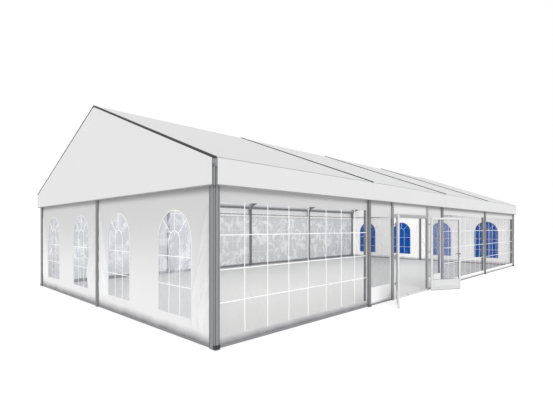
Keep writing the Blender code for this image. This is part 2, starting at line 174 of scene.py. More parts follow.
# Where slack folds leave a post: their height there, how far out and how low they end,
# and how wide and how deep they are
POST_FOLDS = (
    (2.56, 0.50, 0.70, 0.050, 0.046),
    (2.30, 0.28, 1.15, 0.034, 0.026),
    (1.96, 0.58, 0.24, 0.055, 0.060),
    (1.52, 0.28, 0.60, 0.032, 0.028),
    (1.20, 0.36, 0.20, 0.045, 0.056),
    (0.74, 0.16, 0.18, 0.030, 0.022),
)


# Shader building blocks


def node(tree, kind, inputs=None, **settings):
    """A shader node with its settings and its inputs, each a value or another node's socket."""
    made = tree.nodes.new("ShaderNode" + kind)
    for key, value in settings.items():
        setattr(made, key, value)
    for key, value in (inputs or {}).items():
        if isinstance(value, bpy.types.NodeSocket):
            tree.links.new(value, made.inputs[key])
        else:
            made.inputs[key].default_value = value
    return made


def calc(tree, operation, first, second=0.0, clamp=False):
    made = node(tree, "Math", {0: first, 1: second}, operation=operation, use_clamp=clamp)
    return made.outputs[0]


def plus(tree, first, second, clamp=False):
    return calc(tree, "ADD", first, second, clamp)


def minus(tree, first, second, clamp=False):
    return calc(tree, "SUBTRACT", first, second, clamp)


def times(tree, first, second):
    return calc(tree, "MULTIPLY", first, second)


def swing(tree, value, middle, reach):
    """How far a value lies above or below a middle, scaled."""
    return times(tree, minus(tree, value, middle), reach)


def mixed(tree, share, first, second, way="MIX"):
    inputs = {0: share, 6: first, 7: second}
    return node(tree, "Mix", inputs, data_type="RGBA", blend_type=way).outputs[2]


def toned(tree, colour, light):
    """A colour made lighter or darker by a factor."""
    shade = node(tree, "CombineColor", {0: light, 1: light, 2: light}).outputs[0]
    return mixed(tree, 1.0, colour, shade, "MULTIPLY")


def spread(tree, value, from_low, from_high, to_low=0.0, to_high=1.0):
    inputs = {"Value": value, 1: from_low, 2: from_high, 3: to_low, 4: to_high}
    return node(tree, "MapRange", inputs, interpolation_type="SMOOTHSTEP").outputs[0]


def grainy(tree, place, scale, detail=3.0, distortion=0.0):
    inputs = {"Vector": place, "Scale": scale, "Detail": detail, "Distortion": distortion}
    return node(tree, "TexNoise", inputs).outputs["Fac"]


def height_of(tree, place):
    return node(tree, "SeparateXYZ", {0: place}).outputs[2]


def stretched(tree, place, scale):
    """The place with each axis scaled, so that a pattern runs along one of them."""
    return node(tree, "Mapping", {"Vector": place, "Scale": scale}).outputs[0]


def feed(tree, sockets, **sources):
    """Links sources to the sockets of the same names, with blanks for the underscores."""
    for name, source in sources.items():
        tree.links.new(source, sockets[name.replace("_", " ")])


def new_group(name, inputs, outputs):
    """An empty shader group with named sockets, and its input and output nodes."""
    group = bpy.data.node_groups.new(name, "ShaderNodeTree")
    for label, value in inputs.items():
        kind = "NodeSocketFloat"
        if label == "Place":
            kind = "NodeSocketVector"
        elif label.endswith("Colour"):
            kind = "NodeSocketColor"
        socket = group.interface.new_socket(label, in_out="INPUT", socket_type=kind)
        if value is not None:
            socket.default_value = value
    for label in outputs:
        kind = "NodeSocketColor" if label.endswith("Colour") else "NodeSocketFloat"
        group.interface.new_socket(label, in_out="OUTPUT", socket_type=kind)
    return group, group.nodes.new("NodeGroupInput").outputs, group.nodes.new("NodeGroupOutput").inputs


def coated_cloth_group():
    """Coated cloth: fine weave under the coat, soft mottling and a little uneven sheen."""
    inputs = {"Place": None, "Cloth Colour": (0.8, 0.8, 0.8, 1), "Weave": 900.0, "Mottle": 0.04}
    group, given, out = new_group("coated cloth", inputs, ["Colour", "Roughness", "Height"])
    broad = grainy(group, given["Place"], 0.55, 4.0, 0.6)
    small = grainy(group, given["Place"], 7.0, 3.0)
    uneven = plus(group, times(group, broad, 0.7), times(group, small, 0.3))
    light = plus(group, swing(group, uneven, 0.5, given["Mottle"]), 1.0)
    colour = toned(group, given["Cloth Colour"], light)
    rough = spread(group, broad, 0.3, 0.7, 0.68, 0.74)
    weave = node(group, "TexVoronoi", {"Vector": given["Place"], "Scale": given["Weave"]}).outputs[0]
    feed(group, out, Colour=colour, Roughness=rough, Height=weave)
    return group


def ground_shade_group():
    """Darker towards the ground, which on the curtains is painted shade at their feet, and painted shade
    under the eaves, deepest just below the valance.
    """
    inputs = {"Place": None, "Colour": (1, 1, 1, 1), "Reach": 0.2, "Depth": 0.3, "Eaves": 0.0}
    group, given, out = new_group("ground shade", inputs, ["Colour"])
    height = height_of(group, given["Place"])
    broken = times(group, grainy(group, given["Place"], 2.2, 5.0), given["Reach"])
    level = minus(group, height, times(group, broken, 0.5))
    near = minus(group, 1.0, calc(group, "DIVIDE", level, given["Reach"], True), True)
    share = times(group, calc(group, "POWER", near, 1.3), given["Depth"])
    # Mixed towards dark grey near the ground: on the curtains, painted shade at their feet
    foot_darkened = mixed(group, share, given["Colour"], (0.16, 0.16, 0.17, 1))
    # Painted shade under the eaves, mixed towards its own dark colour
    above = times(group, spread(group, height, 0.5, 2.5), given["Eaves"])
    edge = times(group, spread(group, height, 2.6, 2.8), times(group, given["Eaves"], 1.5))
    under_eave_shade = plus(group, above, edge, True)
    feed(group, out, Colour=mixed(group, under_eave_shade, foot_darkened, (0.14, 0.135, 0.135, 1)))
    return group


def drawn_metal_group():
    """Drawn or rolled metal: long faint streaks, and dull patches that catch less light."""
    inputs = {"Place": None, "Metal Colour": (0.4, 0.4, 0.4, 1), "Streak": 0.1, "Dull": 0.4}
    group, given, out = new_group("drawn metal", inputs, ["Colour", "Roughness", "Height"])
    streak = grainy(group, stretched(group, given["Place"], (60, 60, 1.5)), 1.0, 4.0)
    patch = grainy(group, given["Place"], 3.5, 4.0, 0.4)
    drawn = swing(group, streak, 0.5, given["Streak"])
    worn = swing(group, patch, 0.5, given["Streak"])
    light = plus(group, plus(group, drawn, worn), 1.0)
    colour = toned(group, given["Metal Colour"], light)
    rough = plus(group, swing(group, patch, 0.5, 0.35), given["Dull"], True)
    feed(group, out, Colour=colour, Roughness=rough, Height=streak)
    return group


def creased_film_group():
    """Clear film that has been rolled up: thin creases with painted highlights along them, and broad
    painted hazy reflections.
    """
    inputs = {"Place": None, "Film Colour": (0.7, 0.73, 0.78, 1), "Clear": 0.1, "Highlight Cover": 0.6}
    inputs.update({"Crease": 0.5, "Painted Reflection": 0.5, "Clear Foot": 0.0})
    group, given, out = new_group("creased film", inputs, ["Colour", "Alpha", "Roughness", "Height"])
    slant = {"Vector": given["Place"], "Rotation": (0.35, 0.5, 0.2), "Scale": (1.0, 1.0, 0.8)}
    slanted = node(group, "Mapping", slant).outputs[0]
    folds = grainy(group, slanted, 2.1, 4.0, 1.1)
    away = calc(group, "ABSOLUTE", minus(group, folds, 0.5))
    line = spread(group, away, 0.0, 0.022, 1.0, 0.0)
    broken = spread(group, grainy(group, given["Place"], 1.3, 3.0), 0.42, 0.62)
    crease = times(group, times(group, line, broken), given["Crease"])
    cloud = spread(group, grainy(group, slanted, 2.4, 5.0, 0.9), 0.49, 0.62)
    painted_reflection = times(group, cloud, given["Painted Reflection"])
    height = height_of(group, given["Place"])
    foot = times(group, spread(group, height, 0.9, 1.3, 1.0, 0.0), given["Clear Foot"])
    upper = minus(group, 1.0, foot, True)
    share = times(group, plus(group, crease, painted_reflection, True), upper)
    # Painted highlights and reflections: the film is mixed towards white where they lie
    colour = mixed(group, share, given["Film Colour"], (0.96, 0.96, 0.97, 1))
    reach = times(group, minus(group, given["Highlight Cover"], given["Clear"]), share)
    worn = times(group, given["Clear"], plus(group, times(group, upper, 0.7), 0.3))
    cover = plus(group, reach, worn, True)
    rough = spread(group, folds, 0.3, 0.7, 0.06, 0.2)
    feed(group, out, Colour=colour, Alpha=cover, Roughness=rough, Height=folds)
    return group


def deck_joint_group():
    """Deck panels laid edge to edge, with thin joints and a slightly different tone each."""
    inputs = {"Place": None, "Deck Colour": (0.7, 0.7, 0.7, 1), "Tone": 0.04}
    group, given, out = new_group("deck joints", inputs, ["Colour", "Height"])
    bricks = {
        "Vector": given["Place"],
        "Color1": (0.0, 0.0, 0.0, 1),
        "Color2": (1.0, 1.0, 1.0, 1),
        "Mortar": (0.5, 0.5, 0.5, 1),
        "Scale": 1.0,
        "Mortar Size": 0.0025,
        "Mortar Smooth": 0.3,
        "Brick Width": 2.5,
        "Row Height": 1.25,
    }
    panels = node(group, "TexBrick", bricks, offset=0.0)
    tone = node(group, "SeparateColor", {0: panels.outputs["Color"]}).outputs[0]
    speck = grainy(group, given["Place"], 60.0, 4.0)
    both = plus(group, times(group, tone, 0.6), times(group, speck, 0.8))
    light = plus(group, swing(group, both, 0.7, given["Tone"]), 1.0)
    board = toned(group, given["Deck Colour"], light)
    joint = times(group, panels.outputs["Fac"], 0.35)
    height = minus(group, times(group, speck, 0.2), panels.outputs["Fac"])
    feed(group, out, Colour=mixed(group, joint, board, (0.3, 0.3, 0.3, 1)), Height=height)
    return group


COATED_CLOTH = coated_cloth_group()
GROUND_SHADE = ground_shade_group()
DRAWN_METAL = drawn_metal_group()
CREASED_FILM = creased_film_group()
DECK_JOINTS = deck_joint_group()


# Finishes


def new_finish(name, **constants):
    """A material with a Principled surface, its constant values set on the shader itself."""
    surface = bpy.data.materials.new(name)
    surface.use_nodes = True
    tree = surface.node_tree
    shader = tree.nodes["Principled BSDF"]
    for key, value in constants.items():
        shader.inputs[key.replace("_", " ")].default_value = value
    place = node(tree, "TexCoord").outputs["Object"]
    return surface, tree, shader, place


def use_group(tree, group, inputs):
    """The group in a material, with its own values."""
    return node(tree, "Group", inputs, node_tree=group).outputs


def dented(tree, shader, height, strength, distance):
    bump = node(tree, "Bump", {"Height": height, "Strength": strength, "Distance": distance})
    feed(tree, shader.inputs, Normal=bump.outputs[0])


def cloth_finish(name, colour, mottle, foot_darkening_reach=0.2, foot_darkening=0.0, eaves=0.0, glow=0.0, sheen=0.12):
    """Coated cloth, darker towards the ground and under the eaves as painted shade. A glow is painted
    light: it stands for the daylight that comes through to the inner face.
    """
    surface, tree, shader, place = new_finish(name, Specular_IOR_Level=sheen, Emission_Strength=glow)
    look = {"Place": place, "Cloth Colour": (*colour, 1), "Mottle": mottle}
    cloth = use_group(tree, COATED_CLOTH, look)
    shade = {"Colour": cloth["Colour"], "Reach": foot_darkening_reach, "Depth": foot_darkening, "Eaves": eaves}
    darkened = use_group(tree, GROUND_SHADE, {"Place": place, **shade})["Colour"]
    feed(tree, shader.inputs, Base_Color=darkened, Emission_Color=darkened, Roughness=cloth["Roughness"])
    dented(tree, shader, cloth["Height"], 0.15, 0.0002)
    return surface


def metal_finish(name, colour, metallic, dull, streak, foot_darkening=0.0):
    """Drawn or painted metal, darker towards the ground."""
    surface, tree, shader, place = new_finish(name, Metallic=metallic)
    look = {"Place": place, "Metal Colour": (*colour, 1), "Streak": streak, "Dull": dull}
    metal = use_group(tree, DRAWN_METAL, look)
    shade = {"Colour": metal["Colour"], "Reach": 0.3, "Depth": foot_darkening}
    darkened = use_group(tree, GROUND_SHADE, {"Place": place, **shade})["Colour"]
    feed(tree, shader.inputs, Base_Color=darkened, Roughness=metal["Roughness"])
    dented(tree, shader, metal["Height"], 0.15, 0.0004)
    return surface


def film_finish(name, colour, clear, highlight_cover, crease, painted_reflection, clear_foot=0.0, gloss=0.06):
    """Film whose cover runs from a clear value up to a higher one under its painted crease highlights and
    painted hazy reflections.
    """
    surface, tree, shader, place = new_finish(name, IOR=1.5, Specular_IOR_Level=gloss)
    look = {"Film Colour": (*colour, 1), "Clear": clear, "Highlight Cover": highlight_cover, "Crease": crease, "Painted Reflection": painted_reflection}
    film = use_group(tree, CREASED_FILM, {"Place": place, "Clear Foot": clear_foot, **look})
    feed(tree, shader.inputs, Base_Color=film["Colour"], Alpha=film["Alpha"], Roughness=film["Roughness"])
    dented(tree, shader, film["Height"], 0.3, 0.01)
    return surface


def deck_finish():
    """The floor deck's grey boards."""
    surface, tree, shader, place = new_finish("deck board", Roughness=0.7)
    deck = use_group(tree, DECK_JOINTS, {"Place": place, "Deck Colour": (0.56, 0.56, 0.555, 1)})
    feed(tree, shader.inputs, Base_Color=deck["Colour"])
    dented(tree, shader, deck["Height"], 0.4, 0.002)
    return surface


def plain_finish(name, colour, roughness):
    """A small part's finish: one colour, faintly mottled."""
    surface, tree, shader, place = new_finish(name, Roughness=roughness)
    speck = grainy(tree, place, 40.0, 3.0)
    light = [channel * 1.15 for channel in colour] + [1]
    deep = [channel * 0.85 for channel in colour] + [1]
    feed(tree, shader.inputs, Base_Color=mixed(tree, speck, deep, light))
    return surface


def door_glass_finish():
    """Clear glass that shows as a faint cool tint and its reflections."""
    surface, tree, shader, place = new_finish("door glass", Roughness=0.03, IOR=1.5)
    smear = spread(tree, grainy(tree, stretched(tree, place, (1, 1, 0.4)), 1.6, 3.0), 0.45, 0.7, 0.07, 0.17)
    feed(tree, shader.inputs, Alpha=smear)
    shader.inputs["Base Color"].default_value = (0.42, 0.44, 0.54, 1)
    return surface


# The cloths below are one white coated cloth. Each copy is set lighter or darker, and the copies for inner
# faces glow, so that each face shows as bright as the light on it calls for: painted light and shade.
ROOF_CLOTH = cloth_finish("roof cover cloth", (0.605, 0.605, 0.607), mottle=0.05)
PANEL_CLOTH = cloth_finish("gable panel cloth", (0.64, 0.64, 0.64), mottle=0.03)
GABLE_CLOTH = cloth_finish(
    "gable curtain cloth", (0.695, 0.693, 0.695), mottle=0.04, foot_darkening=1.0, eaves=0.3, sheen=0.4
)
CURTAIN_CLOTH = cloth_finish("long curtain cloth", (0.61, 0.608, 0.61), mottle=0.04, foot_darkening=1.0, eaves=0.2)
# A lighter copy of the curtain cloth: painted light on the curtains beyond the near bay and beside the door
LIGHTER_CURTAIN_CLOTH = cloth_finish(
    "lighter curtain cloth", (0.8, 0.798, 0.8), mottle=0.04, foot_darkening_reach=0.1, foot_darkening=0.7, eaves=0.3
)
INFILL_CLOTH = cloth_finish("door head cloth", (0.78, 0.778, 0.78), mottle=0.04, eaves=0.2)
# Copies for inner faces: their glow is painted light, standing for daylight through the cloth
EAVE_INSIDE = cloth_finish("valance cloth from inside", (0.7, 0.7, 0.71), mottle=0.05, glow=0.4)
ROOF_INSIDE = cloth_finish("roof cloth from inside", (0.75, 0.75, 0.75), mottle=0.05, glow=1.3)
WALL_INSIDE = cloth_finish(
    "curtain cloth from inside", (0.72, 0.715, 0.71), mottle=0.05, foot_darkening_reach=0.22, foot_darkening=1.6, glow=0.44
)
GABLE_INSIDE = cloth_finish(
    "gable cloth from inside", (0.72, 0.715, 0.71), mottle=0.05, foot_darkening=0.8, glow=0.44
)
WELD_STRIP = cloth_finish("welded strip", (0.84, 0.84, 0.85), mottle=0.03)
WINDOW_RIM = cloth_finish("window rim", (0.72, 0.72, 0.725), mottle=0.03)
FRONT_FILM = film_finish(
    "front window film", (0.5, 0.5, 0.52), clear=0.02, highlight_cover=0.1, crease=0.4, painted_reflection=0.02, gloss=0.03
)
FAR_FRONT_FILM = film_finish(
    "creased front film", (0.05, 0.05, 0.06), clear=0.14, highlight_cover=0.4, crease=0.45, painted_reflection=0.06, gloss=0.0
)
BACK_FILM = film_finish(
    "back window film", (0.69, 0.712, 0.735), clear=0.85, highlight_cover=0.98, crease=0.8, painted_reflection=0.62
)
GABLE_FILM = film_finish(
    "gable window film", (0.58, 0.6, 0.66), clear=0.2, highlight_cover=0.6, crease=0.9, painted_reflection=0.48, clear_foot=0.9
)
BLUE_FILM = film_finish(
    "blue window film", (0.001, 0.088, 0.43), clear=0.96, highlight_cover=0.97, crease=0.03, painted_reflection=0.02
)
FRAME_METAL = metal_finish(
    "frame aluminium", (0.225, 0.229, 0.237), metallic=0.15, dull=0.6, streak=0.16, foot_darkening=0.2
)
# Dark finish on the faces inside the keder channels: painted shade in the grooves
CHANNEL_SHADE = metal_finish("keder channel", (0.09, 0.092, 0.1), metallic=0.3, dull=0.6, streak=0.1)
# The purlins' aluminium, darkened: partly their own colour, partly painted shade along them
PURLIN_METAL = metal_finish("purlin aluminium", (0.17, 0.173, 0.18), metallic=0.2, dull=0.55, streak=0.1)
EAVE_METAL = metal_finish("eave rail aluminium", (0.52, 0.524, 0.53), metallic=0.3, dull=0.5, streak=0.1)
KEDER_CAP = metal_finish("keder cap", (0.03, 0.03, 0.033), metallic=0.0, dull=0.7, streak=0.1)
GROUND_BAR = metal_finish(
    "ground bar", (0.28, 0.285, 0.29), metallic=0.4, dull=0.5, streak=0.2, foot_darkening=0.5
)
JAMB_METAL = metal_finish(
    "door frame aluminium", (0.34, 0.345, 0.355), metallic=0.4, dull=0.4, streak=0.12, foot_darkening=0.1
)
DOOR_METAL = metal_finish(
    "white door metal", (0.58, 0.58, 0.585), metallic=0.0, dull=0.32, streak=0.03, foot_darkening=0.1
)
ZINC = metal_finish("zinc bolts", (0.45, 0.46, 0.48), metallic=0.9, dull=0.4, streak=0.2)
HANDLE_METAL = metal_finish("lever metal", (0.07, 0.07, 0.075), metallic=0.6, dull=0.35, streak=0.1)
RUBBER = plain_finish("black rubber", (0.02, 0.02, 0.022), 0.65)
SHOE = plain_finish("black shoe", (0.014, 0.018, 0.025), 0.5)
DECK_BOARD = deck_finish()
DOOR_GLASS = door_glass_finish()
GROOVED_METAL = (FRAME_METAL, CHANNEL_SHADE)


# Mesh building blocks


def add_piece(name, mesh, finishes, body="tent", stands_for=()):
    """A piece in the tent's own frame that moves with a body and takes its finishes."""
    for finish in finishes:
        mesh.materials.append(finish)
    piece = bpy.data.objects.new(name, mesh)
    bpy.context.scene.collection.objects.link(piece)
    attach(piece, body)
    if stands_for:
        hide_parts(*stands_for)
    return piece


def shaded(mesh, sharp):
    """Shades soft bends smooth and keeps corners crisp that turn more than an angle."""
    mesh.polygons.foreach_set("use_smooth", [True] * len(mesh.polygons))
    mesh.set_sharp_from_angle(angle=math.radians(sharp))
    mesh.update()
    return mesh


def smooth_mesh(name, points, faces, shades=None, closed=True, sharp=30):
    """A mesh from points and faces; a closed one gets its faces turned outward."""
    mesh = bpy.data.meshes.new(name)
    mesh.from_pydata(points, [], faces)
    if shades:
        mesh.polygons.foreach_set("material_index", shades)
    if closed:
        shell = bmesh.new()
        shell.from_mesh(mesh)
        bmesh.ops.recalc_face_normals(shell, faces=shell.faces)
        shell.to_mesh(mesh)
        shell.free()
    return shaded(mesh, sharp)


def add_shell(name, shell, finish, body="tent", sharp=30):
    """A piece from a shell of blocks and rounds, which is freed."""
    mesh = bpy.data.meshes.new(name)
    bmesh.ops.recalc_face_normals(shell, faces=shell.faces)
    shell.to_mesh(mesh)
    shell.free()
    return add_piece(name, shaded(mesh, sharp), [finish], body)


def thickened(points, faces, thickness):
    """Both faces of a sheet and the rim between them, from its middle surface."""
    shell = bmesh.new()
    corners = [shell.verts.new(point) for point in points]
    shell.verts.index_update()
    for face in faces:
        shell.faces.new([corners[i] for i in face])
    shell.normal_update()
    count = len(corners)
    outer = [corner.co + corner.normal * (thickness / 2) for corner in corners]
    inner = [corner.co - corner.normal * (thickness / 2) for corner in corners]
    both = list(faces) + [tuple(i + count for i in reversed(face)) for face in faces]
    for edge in shell.edges:
        if edge.is_boundary:
            loop = edge.link_loops[0]
            start = loop.vert.index
            end = loop.link_loop_next.vert.index
            both.append((end, start, start + count, end + count))
    shell.free()
    return outer + inner, both


def grid_faces(columns, rows):
    """The faces of a grid whose points run row by row."""
    faces = []
    for row in range(rows - 1):
        for column in range(columns - 1):
            low = row * columns + column
            faces.append((low, low + 1, low + columns + 1, low + columns))
    return faces


def steps(low, high, spacing):
    """Places from low to high at about a spacing, both ends among them."""
    count = max(1, round((high - low) / spacing))
    return [low + (high - low) * i / count for i in range(count + 1)]


def sheet_mesh(name, points, faces, thickness):
    """A sheet from its middle surface; its inner face takes a second finish, if it has one."""
    points, both = thickened(points, faces, thickness)
    shades = [1 if len(faces) <= i < 2 * len(faces) else 0 for i in range(len(both))]
    return smooth_mesh(name, points, both, shades, closed=False, sharp=50)


def ring_faces(rings, size, loop=False):
    """Faces between rings of points; an open run is closed at both ends."""
    faces = []
    for ring in range(rings if loop else rings - 1):
        here = ring * size
        there = (ring + 1) % rings * size
        for i in range(size):
            j = (i + 1) % size
            faces.append((here + i, here + j, there + j, there + i))
    if not loop:
        faces.append(tuple(range(size)))
        faces.append(tuple(range((rings - 1) * size, rings * size)))
    return faces


def drawn_mesh(name, rings, loop=False, shades=None):
    """A bar drawn through rings of points, with a shade for each edge of its section."""
    size = len(rings[0])
    points = [point for ring in rings for point in ring]
    faces = ring_faces(len(rings), size, loop)
    tones = None
    if shades:
        tones = [shades[i % size] for i in range(len(faces) - 2)] + [0, 0]
    return smooth_mesh(name, points, faces, tones)


def add_bar(name, rings, finishes, stands_for=(), shades=None):
    """A straight or bent bar as a piece of the tent."""
    mesh = drawn_mesh(name, rings, shades=shades)
    return add_piece(name, mesh, finishes, "tent", stands_for)


def grooved_section(width, depth, wide_grooves, deep_grooves, chamfer=0.004):
    """A box section with keder channels in its faces. It gives the section's points, and a
    shade for the edge that starts at each: 1 inside a channel."""
    half_w = width / 2
    half_d = depth / 2
    mouth = KEDER_MOUTH / 2
    chamber = KEDER_CHAMBER / 2
    corners = [(-half_w, -half_d), (half_w, -half_d), (half_w, half_d), (-half_w, half_d)]
    points = []
    shades = []
    for number, start in enumerate(corners):
        end = corners[(number + 1) % 4]
        length = math.dist(start, end)
        along = ((end[0] - start[0]) / length, (end[1] - start[1]) / length)
        inward = (-along[1], along[0])
        grooves = wide_grooves if number % 2 == 0 else deep_grooves
        run = [(chamfer, 0.0, 0)]
        for centre in grooves:
            middle = length / 2 + centre
            for reach, sink, shade in (
                (-mouth, 0.0, 1),
                (-mouth, KEDER_LIP, 1),
                (-chamber, KEDER_LIP, 1),
                (-chamber, KEDER_BED, 1),
                (chamber, KEDER_BED, 1),
                (chamber, KEDER_LIP, 1),
                (mouth, KEDER_LIP, 1),
                (mouth, 0.0, 0),
            ):
                run.append((middle + reach, sink, shade))
        run.append((length - chamfer, 0.0, 0))
        for reach, sink, shade in run:
            x = start[0] + along[0] * reach + inward[0] * sink
            y = start[1] + along[1] * reach + inward[1] * sink
            points.append((x, y))
            shades.append(shade)
    return points, shades


def rounded_section(width, height, radius, count=4):
    """A box section with round corners, about its middle."""
    points = []
    for quarter, (x, y) in enumerate(((1, 1), (-1, 1), (-1, -1), (1, -1))):
        for i in range(count + 1):
            angle = math.pi / 2 * (quarter + i / count)
            across = x * (width / 2 - radius) + radius * math.cos(angle)
            up = y * (height / 2 - radius) + radius * math.sin(angle)
            points.append((across, up))
    return points


def hem_bar_section():
    """The section of the bars in the hems of valances and gable panels."""
    return rounded_section(HEM_BAR_WIDTH, HEM_BAR_HEIGHT, 0.004, 3)


def add_block(shell, low, high, edge, place=None):
    """A block with eased edges in a shell. A place turns a leaf's own measures into the tent's."""
    made = bmesh.ops.create_cube(shell, size=1.0)
    size = Vector(high) - Vector(low)
    middle = (Vector(high) + Vector(low)) / 2
    for corner in made["verts"]:
        corner.co = Vector([corner.co[i] * size[i] + middle[i] for i in range(3)])
    edges = list(dict.fromkeys(side for corner in made["verts"] for side in corner.link_edges))
    eased = bmesh.ops.bevel(shell, geom=edges, offset=edge, segments=2, affect="EDGES", profile=0.6)
    if place:
        for corner in eased["verts"]:
            corner.co = place(*corner.co)


def add_round(shell, start, end, radius, segments=16, tip=None):
    """A round or, with six segments, a hexagonal stud between two points."""
    start = Vector(start)
    run = Vector(end) - start
    turn = Vector((0, 0, 1)).rotation_difference(run.normalized())
    made = bmesh.ops.create_cone(
        shell,
        cap_ends=True,
        segments=segments,
        radius1=radius,
        radius2=radius if tip is None else tip,
        depth=run.length,
    )
    for corner in made["verts"]:
        corner.co = turn @ corner.co + start + run / 2


def add_bolt(shell, place, outward, size):
    """A hexagon head on its washer, standing out of a face."""
    place = Vector(place)
    outward = Vector(outward)
    seat = place + outward * WASHER_THICK
    add_round(shell, place, seat, size * 1.35, 20)
    add_round(shell, seat, place + outward * (size * 0.95), size, 6, size * 0.92)


# Frames


def at_gable(line):
    """Whether a frame stands at one of the tent's ends."""
    return line in (FRAME_LINES[0], FRAME_LINES[-1])


def rafter_top(y):
    """The height of the rafters' upper edge at a distance from the ridge."""
    return RIDGE_Z - COVER_RISE - SEAT_GAP - SLOPE * abs(y)


def rafter_underside(y):
    return rafter_top(y) - RAFTER_DEPTH


def make_posts():
    """Grooved posts, cut at the top to the rafters' slope, each on its own base plate."""
    depth = POST_OUTER_Y - POST_INNER_Y
    middle = (POST_OUTER_Y + POST_INNER_Y) / 2
    section, shades = grooved_section(POST_WIDTH, depth, (-0.036, 0.036), (-0.056, 0.056))
    for side, sign in LONG_SIDES.items():
        for number, line in enumerate(FRAME_LINES, 1):
            name = side + "_post_" + str(number)
            foot = [(line + x, sign * (middle + y), PLATE_THICK) for x, y in section]
            head = [(x, y, rafter_underside(y) - SEAT_GAP) for x, y, _ in foot]
            add_bar(name + "_profile", [foot, head], GROOVED_METAL, stands_for=[name], shades=shades)
            make_base_plate(name, line, sign)


def make_base_plate(name, line, sign):
    """The plate that the post stands on, its bolts, and the black shoe round the post's foot."""
    half = POST_WIDTH / 2
    plate = bmesh.new()
    low_y, high_y = sorted((sign * POST_INNER_Y, sign * (POST_OUTER_Y + PLATE_TOE)))
    add_block(plate, (line - half, low_y, 0.0), (line + half, high_y, PLATE_THICK), 0.002)
    for reach in (-FOOT_BOLT_REACH, FOOT_BOLT_REACH):
        place = (line + reach, sign * (POST_OUTER_Y + PLATE_TOE * 0.45), PLATE_THICK)
        add_bolt(plate, place, (0, 0, 1), 0.006)
    add_shell(name + "_base_plate", plate, ZINC)
    shoe = bmesh.new()
    rise = CORNER_SHOE_HEIGHT if at_gable(line) else SHOE_HEIGHT
    low_y, high_y = sorted((sign * (POST_OUTER_Y - 0.05), sign * (POST_OUTER_Y + 0.007)))
    low = (line - half - SHOE_WALL, low_y, PLATE_THICK)
    high = (line + half + SHOE_WALL, high_y, PLATE_THICK + rise)
    add_block(shoe, low, high, 0.004)
    add_shell(name + "_shoe", shoe, SHOE)


def make_rafters():
    """Grooved rafters, two to a frame, joined at the ridge and cut square at the eaves."""
    reach = EAVE_Y - COVER_THICK - SEAT_GAP
    for number, line in enumerate(FRAME_LINES, 1):
        name = "rafter_pair_" + str(number)
        low = -END_RAFTER_X if number == 1 else line - POST_WIDTH / 2
        high = END_RAFTER_X if number == len(FRAME_LINES) else line + POST_WIDTH / 2
        middle = (low + high) / 2
        section, shades = grooved_section(high - low, RAFTER_DEPTH, (), (-0.05, 0.05))
        rings = []
        for y in (-reach, -reach / 2, 0.0, reach / 2, reach):
            rings.append([(middle + x, y, rafter_top(y) - RAFTER_DEPTH / 2 + z) for x, z in section])
        add_bar(name + "_profile", rings, GROOVED_METAL, stands_for=[name], shades=shades)
        make_joint_plates(name, low, high)


def sloped_plate(shell, x_low, x_high, y_low, y_high, drop, depth):
    """A flat plate that follows the rafter's slope, seen from the tent's end."""
    corners = []
    for x in (x_low, x_high):
        for y, fall in ((y_low, drop), (y_high, drop), (y_high, drop + depth), (y_low, drop + depth)):
            corners.append(shell.verts.new((x, y, rafter_top(y) - fall)))
    for face in ((0, 1, 2, 3), (4, 5, 6, 7), (0, 1, 5, 4), (1, 2, 6, 5), (2, 3, 7, 6), (3, 0, 4, 7)):
        shell.faces.new([corners[i] for i in face])


def make_joint_plates(name, low, high):
    """Bolted plates at the ridge and the eaves, on the rafters' faces inside the tent."""
    plates = bmesh.new()
    for face, way in ((low, -1), (high, 1)):
        if abs(face) > FRAME_LINES[-1]:
            continue
        outer = face + way * JOINT_PLATE_THICK
        near, far = sorted((face, outer))
        for y_low, y_high in JOINT_PLATE_SPANS:
            sloped_plate(plates, near, far, y_low, y_high, JOINT_PLATE_DROP, JOINT_PLATE_DEPTH)
            for share in (0.16, 0.5, 0.84):
                y = y_low + (y_high - y_low) * share
                height = rafter_top(y) - JOINT_PLATE_DROP - JOINT_PLATE_DEPTH / 2
                add_bolt(plates, (outer, y, height), (way, 0, 0), 0.009)
    add_shell(name + "_joint_plates", plates, ZINC)


def make_gable_posts():
    """The middle post of each gable, from the ground up to the rafters."""
    section, shades = grooved_section(POST_WIDTH, POST_WIDTH, (-0.032, 0.032), (-0.032, 0.032))
    head = rafter_underside(POST_WIDTH / 2) - SEAT_GAP
    for end, sign in ENDS.items():
        name = end + "_gable_post"
        line = sign * FRAME_LINES[-1]
        rings = [[(line + x, y, z) for x, y in section] for z in (0.0, head)]
        add_bar(name + "_profile", rings, GROOVED_METAL, stands_for=[name], shades=shades)


def make_corner_profiles():
    """At each corner a short grooved profile runs up from the post, between the two valances."""
    section, shades = grooved_section(0.052, 0.07, (0.0,), (0.0,), 0.003)
    heights = (VALANCE_Z + 0.004, rafter_underside(EAVE_Y) - 0.002)
    for end, end_x in ENDS.items():
        for side, end_y in LONG_SIDES.items():
            corner = [(end_x * (CORNER_PROFILE_X + x), end_y * (CORNER_PROFILE_Y + y)) for x, y in section]
            rings = [[(x, y, z) for x, y in corner] for z in heights]
            add_bar(end + "_" + side + "_corner_profile", rings, GROOVED_METAL, shades=shades)


# Roof


def roof_line(reach):
    """Stations across the roof, from the front valance's hem over the ridge to the back one's:
    y, z and the share of its slack that the cloth has there."""
    stations = []
    for z in steps(VALANCE_Z, EAVE_Z - 0.02, 0.065):
        stations.append((-reach, z, 0.0))
    stations.append((-reach + 0.003, EAVE_Z - 0.007, 0.0))
    stations.append((-reach + 0.014, EAVE_Z + 0.004, 0.0))
    for share in steps(0.008, 0.992, 0.031):
        y = -reach * (1 - share)
        stations.append((y, RIDGE_Z - SLOPE * abs(y), math.sin(math.pi * share)))
    stations.append((0.0, RIDGE_Z - 0.004, 0.0))
    return stations + [(-y, z, slack) for y, z, slack in reversed(stations[:-1])]


